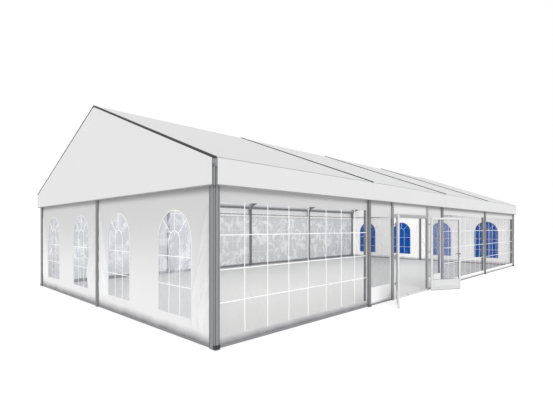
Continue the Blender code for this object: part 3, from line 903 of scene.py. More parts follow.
def cover_edge(bay, high_end, on_valance):
    """Where a cover ends along X: narrow joints on the valance, the keder slot on the slope."""
    line = FRAME_LINES[bay + (1 if high_end else 0)]
    if at_gable(line):
        return math.copysign(COVER_END_X, line)
    gap = 0.004 if on_valance else KEDER_SLOT
    return line - gap if high_end else line + gap


def make_roof_covers():
    """One coated sheet a bay, over both slopes and down both valances, with its hem bars."""
    stations = roof_line(EAVE_Y - CLOTH / 2)
    shares = steps(0.0, 1.0, 1 / 44)
    for bay in range(len(FRAME_LINES) - 1):
        name = "roof_cover_" + str(bay + 1)
        points = []
        for y, z, slack in stations:
            on_valance = abs(y) > EAVE_Y - 0.01
            low = cover_edge(bay, False, on_valance)
            high = cover_edge(bay, True, on_valance)
            for share in shares:
                x = low + (high - low) * share
                belly = math.sin(math.pi * share) * slack
                puff = noise.noise(Vector((x * 0.9, y * 0.7, 3.1)))
                drop = ROOF_SAG * belly - ROOF_PUFF * puff * min(1.0, belly * 3)
                wave = 0.0
                if on_valance:
                    loose = (EAVE_Z - z) / (EAVE_Z - VALANCE_Z)
                    ends = min(1.0, 12 * share * (1 - share))
                    wave = VALANCE_WAVE * loose * ends * noise.noise(Vector((x * 1.7, y, z * 0.8)))
                points.append((x, y + math.copysign(wave, y), z - CLOTH / 2 - drop))
        mesh = sheet_mesh(name + "_cloth", points, grid_faces(len(shares), len(stations)), CLOTH)
        # On the inner face, the roof's slopes take the stronger painted glow and the strip by the eaves the
        # weaker one
        for face in mesh.polygons:
            if face.material_index == 1 and abs(face.center.y) < EAVE_STRIP_Y:
                face.material_index = 2
        finishes = [ROOF_CLOTH, EAVE_INSIDE, ROOF_INSIDE]
        cloth = add_piece(name + "_cloth", mesh, finishes, "tent", [name])
        hem = make_valance_hems(name, bay)


def make_valance_hems(name, bay):
    """The bars in the valances' hems and the beads along the eaves' folds."""
    low = cover_edge(bay, False, True)
    high = cover_edge(bay, True, True)
    lines = (
        (hem_bar_section(), EAVE_Y - 0.0015, HEM_BAR_Z),
        (rounded_section(EAVE_BEAD, EAVE_BEAD, 0.0042, 3), EAVE_Y - 0.003, EAVE_Z - 0.004),
    )
    points = []
    faces = []
    for sign in (-1, 1):
        for section, y, z in lines:
            start = len(points)
            for x in (low, high):
                points += [(x, sign * y + across, z + up) for across, up in section]
            faces += [tuple(i + start for i in face) for face in ring_faces(2, len(section))]
    mesh = smooth_mesh(name + "_hem_bars", points, faces)
    return add_piece(name + "_hem_bars", mesh, [GROUND_BAR])


def make_keder_caps():
    """Dark caps that close the slots between covers, and trims along the gable edges."""
    for number, line in enumerate(FRAME_LINES, 1):
        if at_gable(line):
            width, height = 0.054, 0.034
            middle = math.copysign(PANEL_FACE_X - width / 2, line)
            lift = 0.006 - height / 2
        else:
            width, height = 0.06, 0.036
            middle = line
            lift = 0.005
        section = [(across, up + lift) for across, up in rounded_section(width, height, 0.004, 3)]
        rings = []
        for y in (-EAVE_Y + 0.004, -2.6, -0.03, 0.0, 0.03, 2.6, EAVE_Y - 0.004):
            top = RIDGE_Z - SLOPE * max(abs(y), 0.012)
            rings.append([(middle + across, y, top + up) for across, up in section])
        add_bar("keder_cap_" + str(number), rings, [KEDER_CAP])


def make_eave_rails():
    """The rails on top of the eave purlins, one length between each two rafters."""
    seat = rafter_underside(POST_INNER_Y - SEAT_GAP) - SEAT_GAP
    middle = seat + EAVE_RAIL_HEIGHT / 2
    section = rounded_section(0.05, EAVE_RAIL_HEIGHT, 0.005, 3)
    gap = POST_WIDTH / 2 + 0.002
    for side, sign in LONG_SIDES.items():
        for bay, (start, end) in enumerate(zip(FRAME_LINES, FRAME_LINES[1:]), 1):
            rings = []
            for x in (start + gap, end - gap):
                rings.append([(x, sign * (EAVE_RAIL_Y + across), middle + up) for across, up in section])
            add_bar(side + "_eave_rail_" + str(bay), rings, [EAVE_METAL])


def make_gable_panels():
    """The gables' triangles with the straight valance under them."""
    top = rafter_top(0.0) - PANEL_DROP
    face = PANEL_FACE_X - CLOTH / 2
    columns = steps(-PANEL_HALF, PANEL_HALF, 0.12)
    rows = steps(0.0, 1.0, 1 / 22)
    for end, sign in ENDS.items():
        name = end + "_gable_panel"
        points = []
        for row in rows:
            for y in columns:
                upper = top - SLOPE * abs(y)
                z = VALANCE_Z + (upper - VALANCE_Z) * row
                free = 1 - min(1.0, abs(y) / PANEL_HALF) ** 6
                wave = PANEL_WAVE * noise.noise(Vector((y * 0.8, z * 0.9, 7.7 * sign)))
                off = wave * free * (1 - row) - PANEL_SAG * free * math.sin(math.pi * row)
                points.append((sign * (face + off), y, z))
        faces = grid_faces(len(columns), len(rows))
        if sign < 0:
            faces = [item[::-1] for item in faces]
        mesh = sheet_mesh(name + "_cloth", points, faces, CLOTH)
        finishes = [PANEL_CLOTH, WALL_INSIDE]
        cloth = add_piece(name + "_cloth", mesh, finishes, "tent", [name])
        rings = []
        for y in (-PANEL_HALF, PANEL_HALF):
            rings.append([(sign * face + across, y, HEM_BAR_Z + up) for across, up in hem_bar_section()])
        bar = add_bar(name + "_hem_bar", rings, [GROUND_BAR])


# Curtain walls


def wall_frame(side, middle):
    """Turns a curtain's own measures, along, outward and up, into the tent's."""
    turn = SIDE_TURN[side]
    along = Vector((math.cos(turn), math.sin(turn), 0.0))
    outward = Vector((math.sin(turn), -math.cos(turn), 0.0))
    if side in LONG_SIDES:
        origin = Vector((middle, LONG_SIDES[side] * HALF_WIDTH, 0.0))
    else:
        origin = Vector((ENDS[side] * FRAME_LINES[-1], middle, 0.0))
    return lambda s, n, z: origin + along * s + outward * n + Vector((0.0, 0.0, z))


class Curtain:
    """A curtain's place in the tent, its half width, and the slack folds that it hangs in."""

    def __init__(self, side, middle, half, seed):
        self.place = wall_frame(side, middle)
        self.half = half
        self.seed = seed
        on_long_side = side in LONG_SIDES
        self.slack = LONG_SLACK if on_long_side else GABLE_SLACK
        self.rail_face = (HALF_WIDTH - POST_INNER_Y if on_long_side else POST_WIDTH / 2) + SEAT_GAP


def ramp(value, length):
    """The share of a length that a value has covered, from 0 to 1."""
    return min(1.0, max(0.0, value / length))


def drape(curtain, s, z):
    """How far a curtain stands off its plane: slack folds that run down and away from the posts.
    Close to a post they stay flat, and flatter on the left half than on the right."""
    off = 0.0
    for number, (top, run, low, width, depth) in enumerate(POST_FOLDS):
        for edge in (-1, 1):
            draw = Vector((curtain.seed * 1.7 + number * 3.1, edge * 5.3, 0.4))
            shift = 0.14 * noise.noise(draw)
            dx = -edge * run * (1 + shift)
            dz = low - top
            x = s - edge * curtain.half
            y = z - top - shift
            share = ramp(x * dx + y * dz, dx * dx + dz * dz)
            aside = math.hypot(x - dx * share, y - dz * share)
            wide = width * (0.55 + 0.6 * share)
            swell = min(1.0, share * 5) * min(1.0, (1 - share) * 3)
            off += curtain.slack * depth * swell * math.exp(-((aside / wide) ** 2))
    off += WALL_WAVE * noise.noise(Vector((s * 0.9, z * 0.45, curtain.seed * 2.3)))
    from_post = max(0.0, curtain.half - abs(s))
    most = FOLD_START + (RIGHT_FOLD_RISE if s > 0 else LEFT_FOLD_RISE) * from_post
    if off > 0:
        off = most * math.tanh(off / most)
    held = ramp(z - 0.08, 0.18) * ramp(WALL_TOP - z, 0.25)
    return off * held * ramp(from_post, 0.04)


def foot_flare(z):
    """A curtain's own plane, which swings out over the ground bar at its foot."""
    share = 1 - ramp(z - 0.05, 0.09)
    return CLOTH_OFF + (FOOT_OUT - 0.004 - CLOTH_OFF) * share**1.5


def sill_creases(s, z, seed):
    """Short upright creases in the cloth under a round-headed window."""
    off = 0.0
    for centre in ARCH_PLACES:
        for number, place in enumerate(SILL_CREASES):
            shift = 0.08 * noise.noise(Vector((seed + number * 2.7, centre * 3.3, 1.9)))
            aside = s - centre - place - shift - (z - 0.2) * 0.12
            off -= SILL_CREASE_DEPTH * math.exp(-((aside / 0.016) ** 2))
    return off * ramp(z - 0.08, 0.06) * ramp(0.38 - z, 0.08)


def crinkle(s, z, opening, seed):
    """Creases in a film that was rolled up, none at its welded edges."""
    low_s, high_s, low_z, high_z = opening
    edge = min(s - low_s, high_s - s, z - low_z, high_z - z)
    turned = Vector((s * 1.9 + z * 0.8, z * 1.5 - s * 0.7, seed * 4.7))
    fold = abs(noise.noise(turned)) * 0.014 - 0.004
    small = noise.noise(turned * 3.1) * 0.0035
    return (fold + small) * ramp(edge - 0.03, 0.12)


def band_piece(name, curtain, reach, finish, stands_for):
    """A strip of curtain cloth between two places along the wall and two heights."""
    low_s, high_s, low_z, high_z = reach
    columns = steps(low_s, high_s, 0.07)
    rows = steps(low_z, high_z, 0.04)
    points = [curtain.place(s, foot_flare(z) + drape(curtain, s, z), z) for z in rows for s in columns]
    mesh = sheet_mesh(name, points, grid_faces(len(columns), len(rows)), CLOTH)
    piece = add_piece(name, mesh, [finish, WALL_INSIDE], "tent", stands_for)


def film_piece(window, curtain, opening, finish, uprights, rows):
    """A sheet of film behind an opening, and the strips that are welded on it as bars."""
    low_s, high_s, low_z, high_z = opening
    columns = steps(low_s - FILM_LAP, high_s + FILM_LAP, 0.055)
    levels = steps(low_z - FILM_LAP, high_z + FILM_LAP, 0.06)

    def off(s, z):
        return FILM_OFF + drape(curtain, s, z) + crinkle(s, z, opening, curtain.seed)

    name = window + "_film"
    points = [curtain.place(s, off(s, z), z) for z in levels for s in columns]
    mesh = sheet_mesh(name, points, grid_faces(len(columns), len(levels)), FILM)
    film = add_piece(name, mesh, [finish], "tent", [window])
    bars = make_strips(name + "_bars", curtain, off, uprights, rows)


def make_strips(name, curtain, off, uprights, rows):
    """Narrow strips welded through a film along lines; each follows the film's own creases.
    The rows lie a little proud of the uprights, so that crossing strips share no face."""
    points = []
    faces = []
    for lift, lines in ((-STRIP_LIFT, uprights), (STRIP_LIFT, rows)):
        for line in lines:
            start = len(points)
            for i, (s, z) in enumerate(line):
                before = Vector(line[max(0, i - 1)])
                after = Vector(line[min(len(line) - 1, i + 1)])
                way = (after - before).normalized()
                side = Vector((-way[1], way[0])) * (STRIP_WIDTH / 2)
                for edge in (-1, 1):
                    at_s = s + side[0] * edge
                    at_z = z + side[1] * edge
                    points.append(curtain.place(at_s, off(s, z) + lift, at_z))
            for low in range(start, len(points) - 2, 2):
                faces.append((low, low + 2, low + 3, low + 1))
    if not faces:
        return []
    mesh = sheet_mesh(name, points, faces, STRIP_THICK)
    return [add_piece(name, mesh, [WELD_STRIP])]


def straight(start, end, spacing=0.06):
    """Points along a straight line."""
    count = max(1, round(math.dist(start, end) / spacing))
    return [
        (start[0] + (end[0] - start[0]) * i / count, start[1] + (end[1] - start[1]) * i / count)
        for i in range(count + 1)
    ]


def ground_bar(name, curtain):
    """The bar in a curtain's foot, with its end stops."""
    section = rounded_section(FOOT_OUT - FOOT_IN - 0.002, 0.058, 0.01, 4)
    centre = (FOOT_OUT + FOOT_IN) / 2
    stops = [(curtain.half - inset, grow) for inset, grow in ((0.013, 0.94), (0.012, 1.0), (0.0, 1.0))]
    rings = []
    for s, grow in [(-s, grow) for s, grow in reversed(stops)] + stops:
        rings.append([curtain.place(s, centre + n * grow, GROUND_BAR_Z + z * grow) for n, z in section])
    add_bar(name, rings, [GROUND_BAR])


def hanging_loops(name, curtain):
    """Webbing loops from the curtain's top hem round the rail inside the posts."""
    loops = bmesh.new()
    face = curtain.rail_face
    # The webbing's run, seen from the curtain's end: outward and up
    turns = (
        (0.012, 2.786),
        (0.012, 2.794),
        (-face + 0.002, 2.8035),
        (-face - 0.042, 2.8035),
        (-face - 0.0425, 2.752),
        (-face + 0.002, 2.7515),
        (0.004, 2.772),
    )
    length = 2 * curtain.half
    count = max(2, round(length / 0.55))
    for i in range(count):
        middle = -curtain.half + length * (i + 0.5) / count
        rows = []
        for n, z in turns:
            places = [curtain.place(middle + reach, n, z) for reach in (-0.0125, 0.0125)]
            rows.append([loops.verts.new(place) for place in places])
        for here, there in zip(rows, rows[1:]):
            loops.faces.new((here[0], here[1], there[1], there[0]))
    mesh = bpy.data.meshes.new(name)
    loops.to_mesh(mesh)
    loops.free()
    piece = add_piece(name, mesh, [WELD_STRIP])
    firm = piece.modifiers.new("webbing", "SOLIDIFY")
    firm.thickness = 0.0015
    firm.offset = 0.0


def window_wall(name, window, curtain, opening, cloth, film, uprights=(), rows=()):
    """A curtain of four bands of cloth round one film window, with its ground bar and loops."""
    low_s, high_s, low_z, high_z = opening
    half = curtain.half
    bands = {
        "top_band": (-half, half, high_z, WALL_TOP),
        "foot_band": (-half, half, CLOTH_FOOT_Z, low_z),
        "left_edge": (-half, low_s, low_z, high_z),
        "right_edge": (high_s, half, low_z, high_z),
    }
    for part, reach in bands.items():
        band_piece(name + "_" + part, curtain, reach, cloth, [name] if part == "top_band" else [])
    film_piece(window, curtain, opening, film, uprights, rows)
    ground_bar(name + "_ground_bar", curtain)
    hanging_loops(name + "_loops", curtain)


def film_for(side, number):
    """The near front window's film is the clearest. The others are copies with more cover and more painted
    highlights; the far front films' dark tint is painted shade, and the back films' light grey-blue cover
    stands for the light and shade seen through them.
    """
    if side == "back":
        return BACK_FILM
    return FRONT_FILM if number == 1 else FAR_FRONT_FILM


def long_wall(side, number, middle, seed):
    """A long side's curtain: bands of cloth round one big film window with its bars."""
    half = (BAY - POST_WIDTH) / 2 - SEAT_GAP
    edge = half - WINDOW_EDGE
    top = BACK_WINDOW_TOP if side == "back" else WINDOW_TOP
    sign = -LONG_SIDES[side]
    window_wall(
        side + "_wall_" + str(number),
        side + "_window_" + str(number),
        Curtain(side, middle, half, seed),
        (-edge, edge, WINDOW_LOW, top),
        CURTAIN_CLOTH if number == 1 else LIGHTER_CURTAIN_CLOTH,
        film_for(side, number),
        [straight((sign * column, WINDOW_LOW), (sign * column, top)) for column in BAR_COLUMNS],
        [straight((-edge, row), (edge, row)) for row in BAR_ROWS],
    )


def door_side_wall(side, sign, seed):
    """A narrow curtain beside the door: cloth round a clear window without bars."""
    post_face = BAY / 2 - POST_WIDTH / 2
    jamb_face = JAMB_OFFSET + JAMB_WIDTH / 2
    half = (post_face - jamb_face) / 2 - SEAT_GAP
    edge = half - SIDE_WINDOW_EDGE
    middle = DOOR_X + sign * (post_face + jamb_face) / 2
    window_wall(
        "door_side_wall_" + side,
        "door_side_window_" + side,
        Curtain("front", middle, half, seed),
        (-edge, edge, SIDE_WINDOW_LOW, SIDE_WINDOW_TOP),
        LIGHTER_CURTAIN_CLOTH,
        FAR_FRONT_FILM,
    )


def in_arch(s, z, centre, grow=0.0):
    """Whether a point lies in a round-headed window that is grown by a margin."""
    reach = ARCH_RADIUS + grow
    if abs(s - centre) > reach or z < ARCH_SILL - grow:
        return False
    return z <= ARCH_SPRING or math.hypot(s - centre, z - ARCH_SPRING) <= reach


def arch_outline(centre, grow=0.0, count=26):
    """A round-headed window's outline, from its right foot over the head to its left foot."""
    reach = ARCH_RADIUS + grow
    sill = ARCH_SILL - grow
    heights = steps(sill, ARCH_SPRING, 0.12)
    points = [(centre + reach, z) for z in heights]
    for i in range(1, count):
        angle = math.pi * i / count
        points.append((centre + reach * math.cos(angle), ARCH_SPRING + reach * math.sin(angle)))
    points += [(centre - reach, z) for z in reversed(heights)]
    points += [(s, sill) for s in steps(centre - reach, centre + reach, 0.12)[1:-1]]
    return points


def clipped_sheet(outline, holes, columns, rows, outside):
    """Points and triangles that fill an outline and leave its holes open."""
    apart = 0.014
    points = [Vector(point) for point in outline]
    edges = [(i, (i + 1) % len(outline)) for i in range(len(outline))]
    for hole in holes:
        start = len(points)
        points += [Vector(point) for point in hole]
        edges += [(start + i, start + (i + 1) % len(hole)) for i in range(len(hole))]
    fixed = list(points)
    for s in columns[1:-1]:
        close = [item for item in fixed if abs(item.x - s) < apart]
        for z in rows[1:-1]:
            point = Vector((s, z))
            if outside(s, z) or any((point - item).length < apart for item in close):
                continue
            points.append(point)
    made = geometry.delaunay_2d_cdt(points, edges, [], 0, 1e-5)
    flat, faces = made[0], made[2]
    kept = []
    for face in faces:
        s = sum(flat[i][0] for i in face) / len(face)
        z = sum(flat[i][1] for i in face) / len(face)
        if not outside(s, z):
            kept.append(tuple(face))
    return [(point[0], point[1]) for point in flat], kept


def arch_bars(centre, end):
    """The bars of a round-headed window: two uprights, a small half-round and three spokes, and
    apart from them the two rows."""

    def spot(radius, degrees):
        angle = math.radians(degrees)
        return centre + radius * math.cos(angle), ARCH_SPRING + radius * math.sin(angle)

    inner = ARCH_RADIUS / 3
    uprights = [straight((s, ARCH_SILL), (s, ARCH_SPRING)) for s in (centre - inner, centre + inner)]
    uprights.append([spot(inner, degrees) for degrees in range(0, 181, 15)])
    for degrees in (45, 90, 135):
        uprights.append(straight(spot(inner, degrees), spot(ARCH_RADIUS, degrees)))
    low_s = centre - ARCH_RADIUS
    rows = [straight((low_s, row), (low_s + ARCH_WIDTH, row)) for row in ARCH_ROWS[end]]
    return uprights, rows


def gable_wall(end, side, middle, seed):
    """A gable curtain with two round-headed windows, their film, bars and welded rims."""
    name = end + "_gable_wall_" + side
    half = (POST_INNER_Y - POST_WIDTH / 2) / 2 - SEAT_GAP
    curtain = Curtain(end, middle, half, seed)
    along = steps(-half, half, 0.08)
    up = steps(CLOTH_FOOT_Z, WALL_TOP, 0.08)
    outline = [(s, CLOTH_FOOT_Z) for s in along[:-1]]
    outline += [(half, z) for z in up[:-1]]
    outline += [(s, WALL_TOP) for s in reversed(along[1:])]
    outline += [(-half, z) for z in reversed(up[1:])]
    # Points lie closer together beside the posts, where the folds are
    folded = 0.66
    columns = steps(-half, folded - half, 0.02)
    columns += steps(folded - half, half - folded, 0.07)[1:-1]
    columns += steps(half - folded, half, 0.02)
    flat, faces = clipped_sheet(
        outline,
        [arch_outline(centre) for centre in ARCH_PLACES],
        columns,
        steps(CLOTH_FOOT_Z, WALL_TOP, 0.045),
        lambda s, z: any(in_arch(s, z, centre) for centre in ARCH_PLACES),
    )
    points = []
    for s, z in flat:
        folds = drape(curtain, s, z) + sill_creases(s, z, seed)
        points.append(curtain.place(s, foot_flare(z) + folds, z))
    mesh = sheet_mesh(name + "_cloth", points, faces, CLOTH)
    cloth = add_piece(name + "_cloth", mesh, [GABLE_CLOTH, GABLE_INSIDE], "tent", [name])
    for number, centre in enumerate(ARCH_PLACES, 1):
        arch_film(end, side, number, centre, curtain)
    ground_bar(name + "_ground_bar", curtain)
    hanging_loops(name + "_loops", curtain)


def arch_film(end, side, number, centre, curtain):
    """One round-headed pane behind its opening, its bars, and the rim welded round it."""
    window = end + "_gable_window_" + side
    name = window + "_pane_" + str(number)
    low_s = centre - ARCH_RADIUS
    high_s = centre + ARCH_RADIUS
    opening = (low_s, high_s, ARCH_SILL, ARCH_CROWN)

    def off(s, z):
        return FILM_OFF + drape(curtain, s, z) + crinkle(s, z, opening, curtain.seed + number)

    flat, faces = clipped_sheet(
        arch_outline(centre, FILM_LAP),
        [],
        steps(low_s - FILM_LAP, high_s + FILM_LAP, 0.035),
        steps(ARCH_SILL - FILM_LAP, ARCH_CROWN + FILM_LAP, 0.045),
        lambda s, z: not in_arch(s, z, centre, FILM_LAP + 0.001),
    )
    mesh = sheet_mesh(name, [curtain.place(s, off(s, z), z) for s, z in flat], faces, FILM)
    finish, slot = (GABLE_FILM, "clear_film") if end == "near" else (BLUE_FILM, "blue_film")
    film = add_piece(name, mesh, [finish], "tent", [window])
    bars = make_strips(name + "_bars", curtain, off, *arch_bars(centre, end))
    points = []
    faces = []
    inner = arch_outline(centre, -0.004)
    outer = arch_outline(centre, 0.018)
    count = len(inner)
    for lift in (CLOTH_OFF + CLOTH / 2 + 0.0012, FILM_OFF - 0.0032):
        start = len(points)
        for pair in zip(inner, outer):
            points += [curtain.place(s, lift + drape(curtain, s, z), z) for s, z in pair]
        for i in range(count):
            j = (i + 1) % count
            faces.append(tuple(start + k for k in (2 * i, 2 * i + 1, 2 * j + 1, 2 * j)))
    rim = sheet_mesh(name + "_rims", points, faces, RIM)
    add_piece(name + "_rims", rim, [WINDOW_RIM])


def make_walls():
    """All curtains: long sides, gables and the two beside the door, each with its own seed."""
    for number, line in enumerate(FRAME_LINES[:-1], 1):
        middle = line + BAY / 2
        if middle != DOOR_X:
            long_wall("front", number, middle, number)
        long_wall("back", number, middle, 10 + number)
    gable_middle = (POST_INNER_Y + POST_WIDTH / 2) / 2
    seed = 20
    for end in ENDS:
        for side, sign in LONG_SIDES.items():
            seed += 1
            gable_wall(end, side, sign * gable_middle, seed)
    door_side_wall("left", -1, 31)
    door_side_wall("right", 1, 32)


# Doorway


def make_door_frame():
    """Jambs, head and sill profiles round the doorway, and the white infill above it."""
    depth = FRAME_INNER_Y - FRAME_OUTER_Y
    middle_y = (FRAME_INNER_Y + FRAME_OUTER_Y) / 2
    section, shades = grooved_section(JAMB_WIDTH, depth, (0.0,), (0.0,), 0.003)
    metal = "door_frame_aluminium"
    for side, sign in LEAF_SIDES.items():
        middle = DOOR_X + sign * JAMB_OFFSET
        rings = [[(middle + x, middle_y + y, z) for x, y in section] for z in (0.0, WALL_TOP)]
        add_bar(side + "_door_jamb", rings, (JAMB_METAL, CHANNEL_SHADE), ["door_frame"], shades)
    reach = JAMB_OFFSET - JAMB_WIDTH / 2 - SEAT_GAP
    head = (
        (FRAME_OUTER_Y, FRAME_INNER_Y, TRANSOM_LOW, TRANSOM_TOP, 0.004),
        (FRAME_OUTER_Y + 0.008, FRAME_INNER_Y - 0.008, WALL_TOP - 0.045, WALL_TOP, 0.004),
    )
    sill = (
        (FRAME_OUTER_Y + 0.004, FRAME_INNER_Y, 0.0, 0.05, 0.004),
        (FRAME_OUTER_Y, FRAME_INNER_Y - 0.03, 0.05, 0.062, 0.003),
        (FRAME_INNER_Y - 0.03, FRAME_INNER_Y, 0.05, SILL_HEIGHT, 0.003),
    )
    infill = ((middle_y - 0.005, middle_y + 0.005, TRANSOM_TOP + 0.0005, WALL_TOP - 0.0455, 0.002),)
    for name, blocks, finish, slot in (
        ("door_head", head, JAMB_METAL, metal),
        ("door_sill", sill, DOOR_METAL, metal),
        ("door_head_infill", infill, INFILL_CLOTH, "wall_fabric"),
    ):
        shell = bmesh.new()
        for low_y, high_y, low_z, high_z, edge in blocks:
            low = (DOOR_X - reach, low_y, low_z)
            high = (DOOR_X + reach, high_y, high_z)
            add_block(shell, low, high, edge)
        add_shell(name, shell, finish)


def leaf_frame(side):
    """Turns a leaf's own measures, from its hinge axis, into the tent's at rest."""
    sign = LEAF_SIDES[side]
    turn = LEAF_TURNS[side]
    along = Vector((math.cos(turn), math.sin(turn), 0.0)) * -sign
    across = Vector((-math.sin(turn), math.cos(turn), 0.0))
    axis = Vector((DOOR_X + sign * AXIS_OFFSET, AXIS_Y, 0.0))
    return lambda a, b, z: axis + along * a + across * b + Vector((0.0, 0.0, z))


def mitred_frame(name, place, low, high, section):
    """A frame with mitred corners. Its section runs inward from the edge and across the leaf."""
    corners = (
        (low[0], low[1], 1, 1),
        (high[0], low[1], -1, 1),
        (high[0], high[1], -1, -1),
        (low[0], high[1], 1, -1),
    )
    rings = []
    for a, z, way_a, way_z in corners:
        rings.append([place(a + way_a * inset, b, z + way_z * inset) for inset, b in section])
    return drawn_mesh(name, rings, loop=True)


def make_leaf(side):
    """A glazed leaf: mitred frame, middle rail, kick panel, glazing beads, gaskets and hinges."""
    place = leaf_frame(side)
    body = side + "_leaf"
    name = side + "_door_leaf"
    near = LEAF_FACE
    far = LEAF_FACE + LEAF_THICK
    low_a = LEAF_EDGE + STILE_WIDTH
    high_a = LEAF_END - STILE_WIDTH
    bead = STILE_WIDTH - 0.016
    outline = ((0.0, 0.004), (0.004, 0.0), (bead, 0.0))
    outline += ((bead + 0.002, 0.006), (STILE_WIDTH - 0.002, 0.009), (STILE_WIDTH, 0.013))
    section = [(inset, near + deep) for inset, deep in outline]
    section += [(inset, far - deep) for inset, deep in reversed(outline)]
    mesh = mitred_frame(name + "_frame", place, (LEAF_EDGE, LEAF_LOW), (LEAF_END, LEAF_TOP), section)
    add_piece(name + "_frame", mesh, [DOOR_METAL], body, [name])
    panel_low = LEAF_LOW + STILE_WIDTH
    rail_low = GLASS_LOW - 0.05
    kick = bmesh.new()
    add_block(kick, (low_a, near + 0.002, rail_low), (high_a, far - 0.002, GLASS_LOW), 0.003, place)
    add_block(kick, (low_a, near + 0.010, panel_low), (high_a, far - 0.010, rail_low), 0.002, place)
    for low_b, high_b in ((near + 0.004, near + 0.012), (far - 0.012, far - 0.004)):
        low = (low_a + 0.03, low_b, panel_low + 0.03)
        high = (high_a - 0.03, high_b, rail_low - 0.03)
        add_block(kick, low, high, 0.003, place)
    add_shell(name + "_kick_panel", kick, DOOR_METAL, body)
    middle = (near + far) / 2
    for face, way in (("outer", -1), ("inner", 1)):
        low_b = middle + way * (GLASS_THICK + GASKET) / 2 - GASKET / 2
        high_b = low_b + GASKET
        gasket = [(0.0, low_b), (GASKET, low_b), (GASKET, high_b), (0.0, high_b)]
        low = (low_a - 0.001, GLASS_LOW - 0.001)
        high = (high_a + 0.001, GLASS_TOP + 0.001)
        gasket_name = name + "_" + face + "_gasket"
        mesh = mitred_frame(gasket_name, place, low, high, gasket)
        add_piece(gasket_name, mesh, [RUBBER], body)
    sweep = bmesh.new()
    low = (LEAF_EDGE + 0.01, near + 0.012, LEAF_LOW - 0.012)
    high = (LEAF_END - 0.01, far - 0.012, LEAF_LOW + 0.002)
    add_block(sweep, low, high, 0.002, place)
    add_shell(name + "_sweep", sweep, RUBBER, body)
    make_hinges(side, place, body)


def make_hinges(side, place, body):
    """Round hinge eyes: one of each pair on the jamb, the other on the leaf's strap."""
    on_jamb = bmesh.new()
    on_leaf = bmesh.new()
    sign = LEAF_SIDES[side]
    axis_x = DOOR_X + sign * AXIS_OFFSET
    for low in KNUCKLE_PLACES:
        top = low + KNUCKLE_LENGTH
        add_round(on_jamb, (axis_x, AXIS_Y, low), (axis_x, AXIS_Y, top), KNUCKLE_RADIUS, 24)
        arm = sorted((axis_x + sign * KNUCKLE_RADIUS, axis_x + sign * (KNUCKLE_RADIUS - 0.01)))
        add_block(on_jamb, (arm[0], AXIS_Y, low), (arm[1], FRAME_OUTER_Y, top), 0.001)
        start = place(0.0, 0.0, top + SEAT_GAP)
        end = place(0.0, 0.0, top + SEAT_GAP + KNUCKLE_LENGTH)
        tip = end + Vector((0, 0, 0.003))
        add_round(on_leaf, start, end, KNUCKLE_RADIUS, 24)
        add_round(on_leaf, end, tip, KNUCKLE_RADIUS * 0.8, 24, KNUCKLE_RADIUS * 0.4)
        strap_low = (0.004, LEAF_FACE - 0.006, start.z)
        strap_high = (LEAF_EDGE + STILE_WIDTH / 2, LEAF_FACE + 0.001, end.z)
        add_block(on_leaf, strap_low, strap_high, 0.0015, place)
    add_shell(side + "_jamb_hinges", on_jamb, JAMB_METAL)
    add_shell(side + "_leaf_hinges", on_leaf, JAMB_METAL, body)


def make_lever():
    """The levers, roses and lock cylinder on both faces of the right leaf."""
    place = leaf_frame("right")
    shell = bmesh.new()
    along = LEAF_END - STILE_WIDTH / 2
    low = HANDLE_Z - CYLINDER_DROP
    for face, way in ((LEAF_FACE, -1), (LEAF_FACE + LEAF_THICK, 1)):
        rose = place(along, face, HANDLE_Z)
        add_round(shell, rose, place(along, face + way * 0.008, HANDLE_Z), 0.022, 28, 0.020)
        add_round(shell, rose, place(along, face + way * 0.04, HANDLE_Z), 0.0085, 20)
        grip = place(along + 0.008, face + way * 0.038, HANDLE_Z)
        tip = place(along - 0.112, face + way * 0.036, HANDLE_Z - 0.004)
        add_round(shell, grip, tip, 0.0085, 20, 0.0065)
        add_round(shell, place(along, face, low), place(along, face + way * 0.006, low), 0.018, 28, 0.016)
        add_round(shell, place(along, face, low), place(along, face + way * 0.0085, low), 0.0085, 20)
    add_shell("right_leaf_lever", shell, HANDLE_METAL, "right_leaf", 40)


# What the source already shapes as it should be


def dress_plain_nodes():
    """The rails, glass and deck keep their own shapes and get their finishes."""
    looks = {
        "curtain_rail": PURLIN_METAL,
        "front_eave_purlin": PURLIN_METAL,
        "back_eave_purlin": PURLIN_METAL,
        "ridge_purlin": PURLIN_METAL,
        "left_leaf_glass": DOOR_GLASS,
        "right_leaf_glass": DOOR_GLASS,
        "floor_deck": DECK_BOARD,
    }
    for name, finish in looks.items():
        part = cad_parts[name]
        for slot in part.material_slots:
            slot.material = finish


# Studio


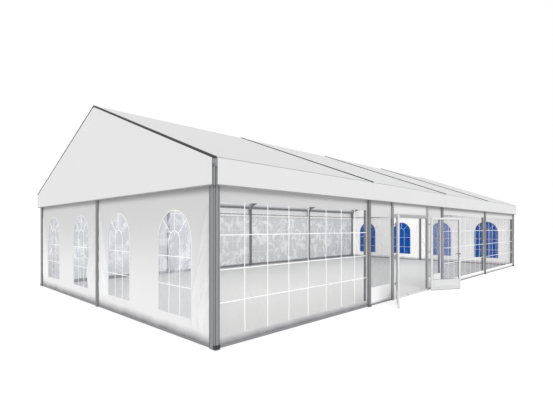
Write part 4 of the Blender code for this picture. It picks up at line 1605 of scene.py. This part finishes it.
def make_floor():
    """The white ground that the tent stands on in the picture."""
    mesh = bpy.data.meshes.new("studio_floor")
    reach = 160.0
    corners = ((-reach, -reach), (reach, -reach), (reach, reach), (-reach, reach))
    mesh.from_pydata([(x, y, -0.002) for x, y in corners], [], [(0, 1, 2, 3)])
    floor = bpy.data.objects.new("studio_floor", mesh)
    bpy.context.scene.collection.objects.link(floor)
    surface, _, shader, _ = new_finish("studio floor", Roughness=0.9, Specular_IOR_Level=0.0)
    shader.inputs["Base Color"].default_value = (0.3, 0.3, 0.3, 1)
    shader.inputs["Emission Color"].default_value = (1.0, 1.0, 1.0, 1.0)
    shader.inputs["Emission Strength"].default_value = 0.74
    mesh.materials.append(surface)


def make_light():
    """Even white surroundings, and a low, broad sun from behind the eye."""
    scene = bpy.context.scene
    world = bpy.data.worlds.new("white studio")
    world.use_nodes = True
    world.node_tree.nodes["Background"].inputs["Color"].default_value = (1.0, 1.0, 1.0, 1.0)
    world.node_tree.nodes["Background"].inputs["Strength"].default_value = 1.0
    scene.world = world
    sun = bpy.data.lights.new("sun", "SUN")
    sun.energy = 1.2
    sun.angle = math.radians(18)
    lamp = bpy.data.objects.new("sun", sun)
    lamp.rotation_euler = Vector((0.50, 0.72, -0.36)).to_track_quat("-Z", "Y").to_euler()
    scene.collection.objects.link(lamp)
    scene.view_settings.view_transform = "Standard"


def make_camera():
    """The photograph's eye: 2.06 m up, off the near corner, with a level view."""
    view = bpy.data.cameras.new("eye")
    view.sensor_width = 36.0
    view.lens = 24.853
    view.shift_x = 0.02016
    view.shift_y = 0.03756
    view.clip_end = 400.0
    eye = bpy.data.objects.new("eye", view)
    eye.location = (-13.965, -10.204, 2.064)
    eye.rotation_euler = (math.radians(90), 0.0, math.radians(-44.852))
    bpy.context.scene.collection.objects.link(eye)
    bpy.context.scene.camera = eye


make_camera()
make_light()
make_floor()
make_posts()
make_rafters()
make_gable_posts()
make_corner_profiles()
make_roof_covers()
make_keder_caps()
make_eave_rails()
make_gable_panels()
make_walls()
make_door_frame()
for leaf_side in ("left", "right"):
    make_leaf(leaf_side)
make_lever()
dress_plain_nodes()
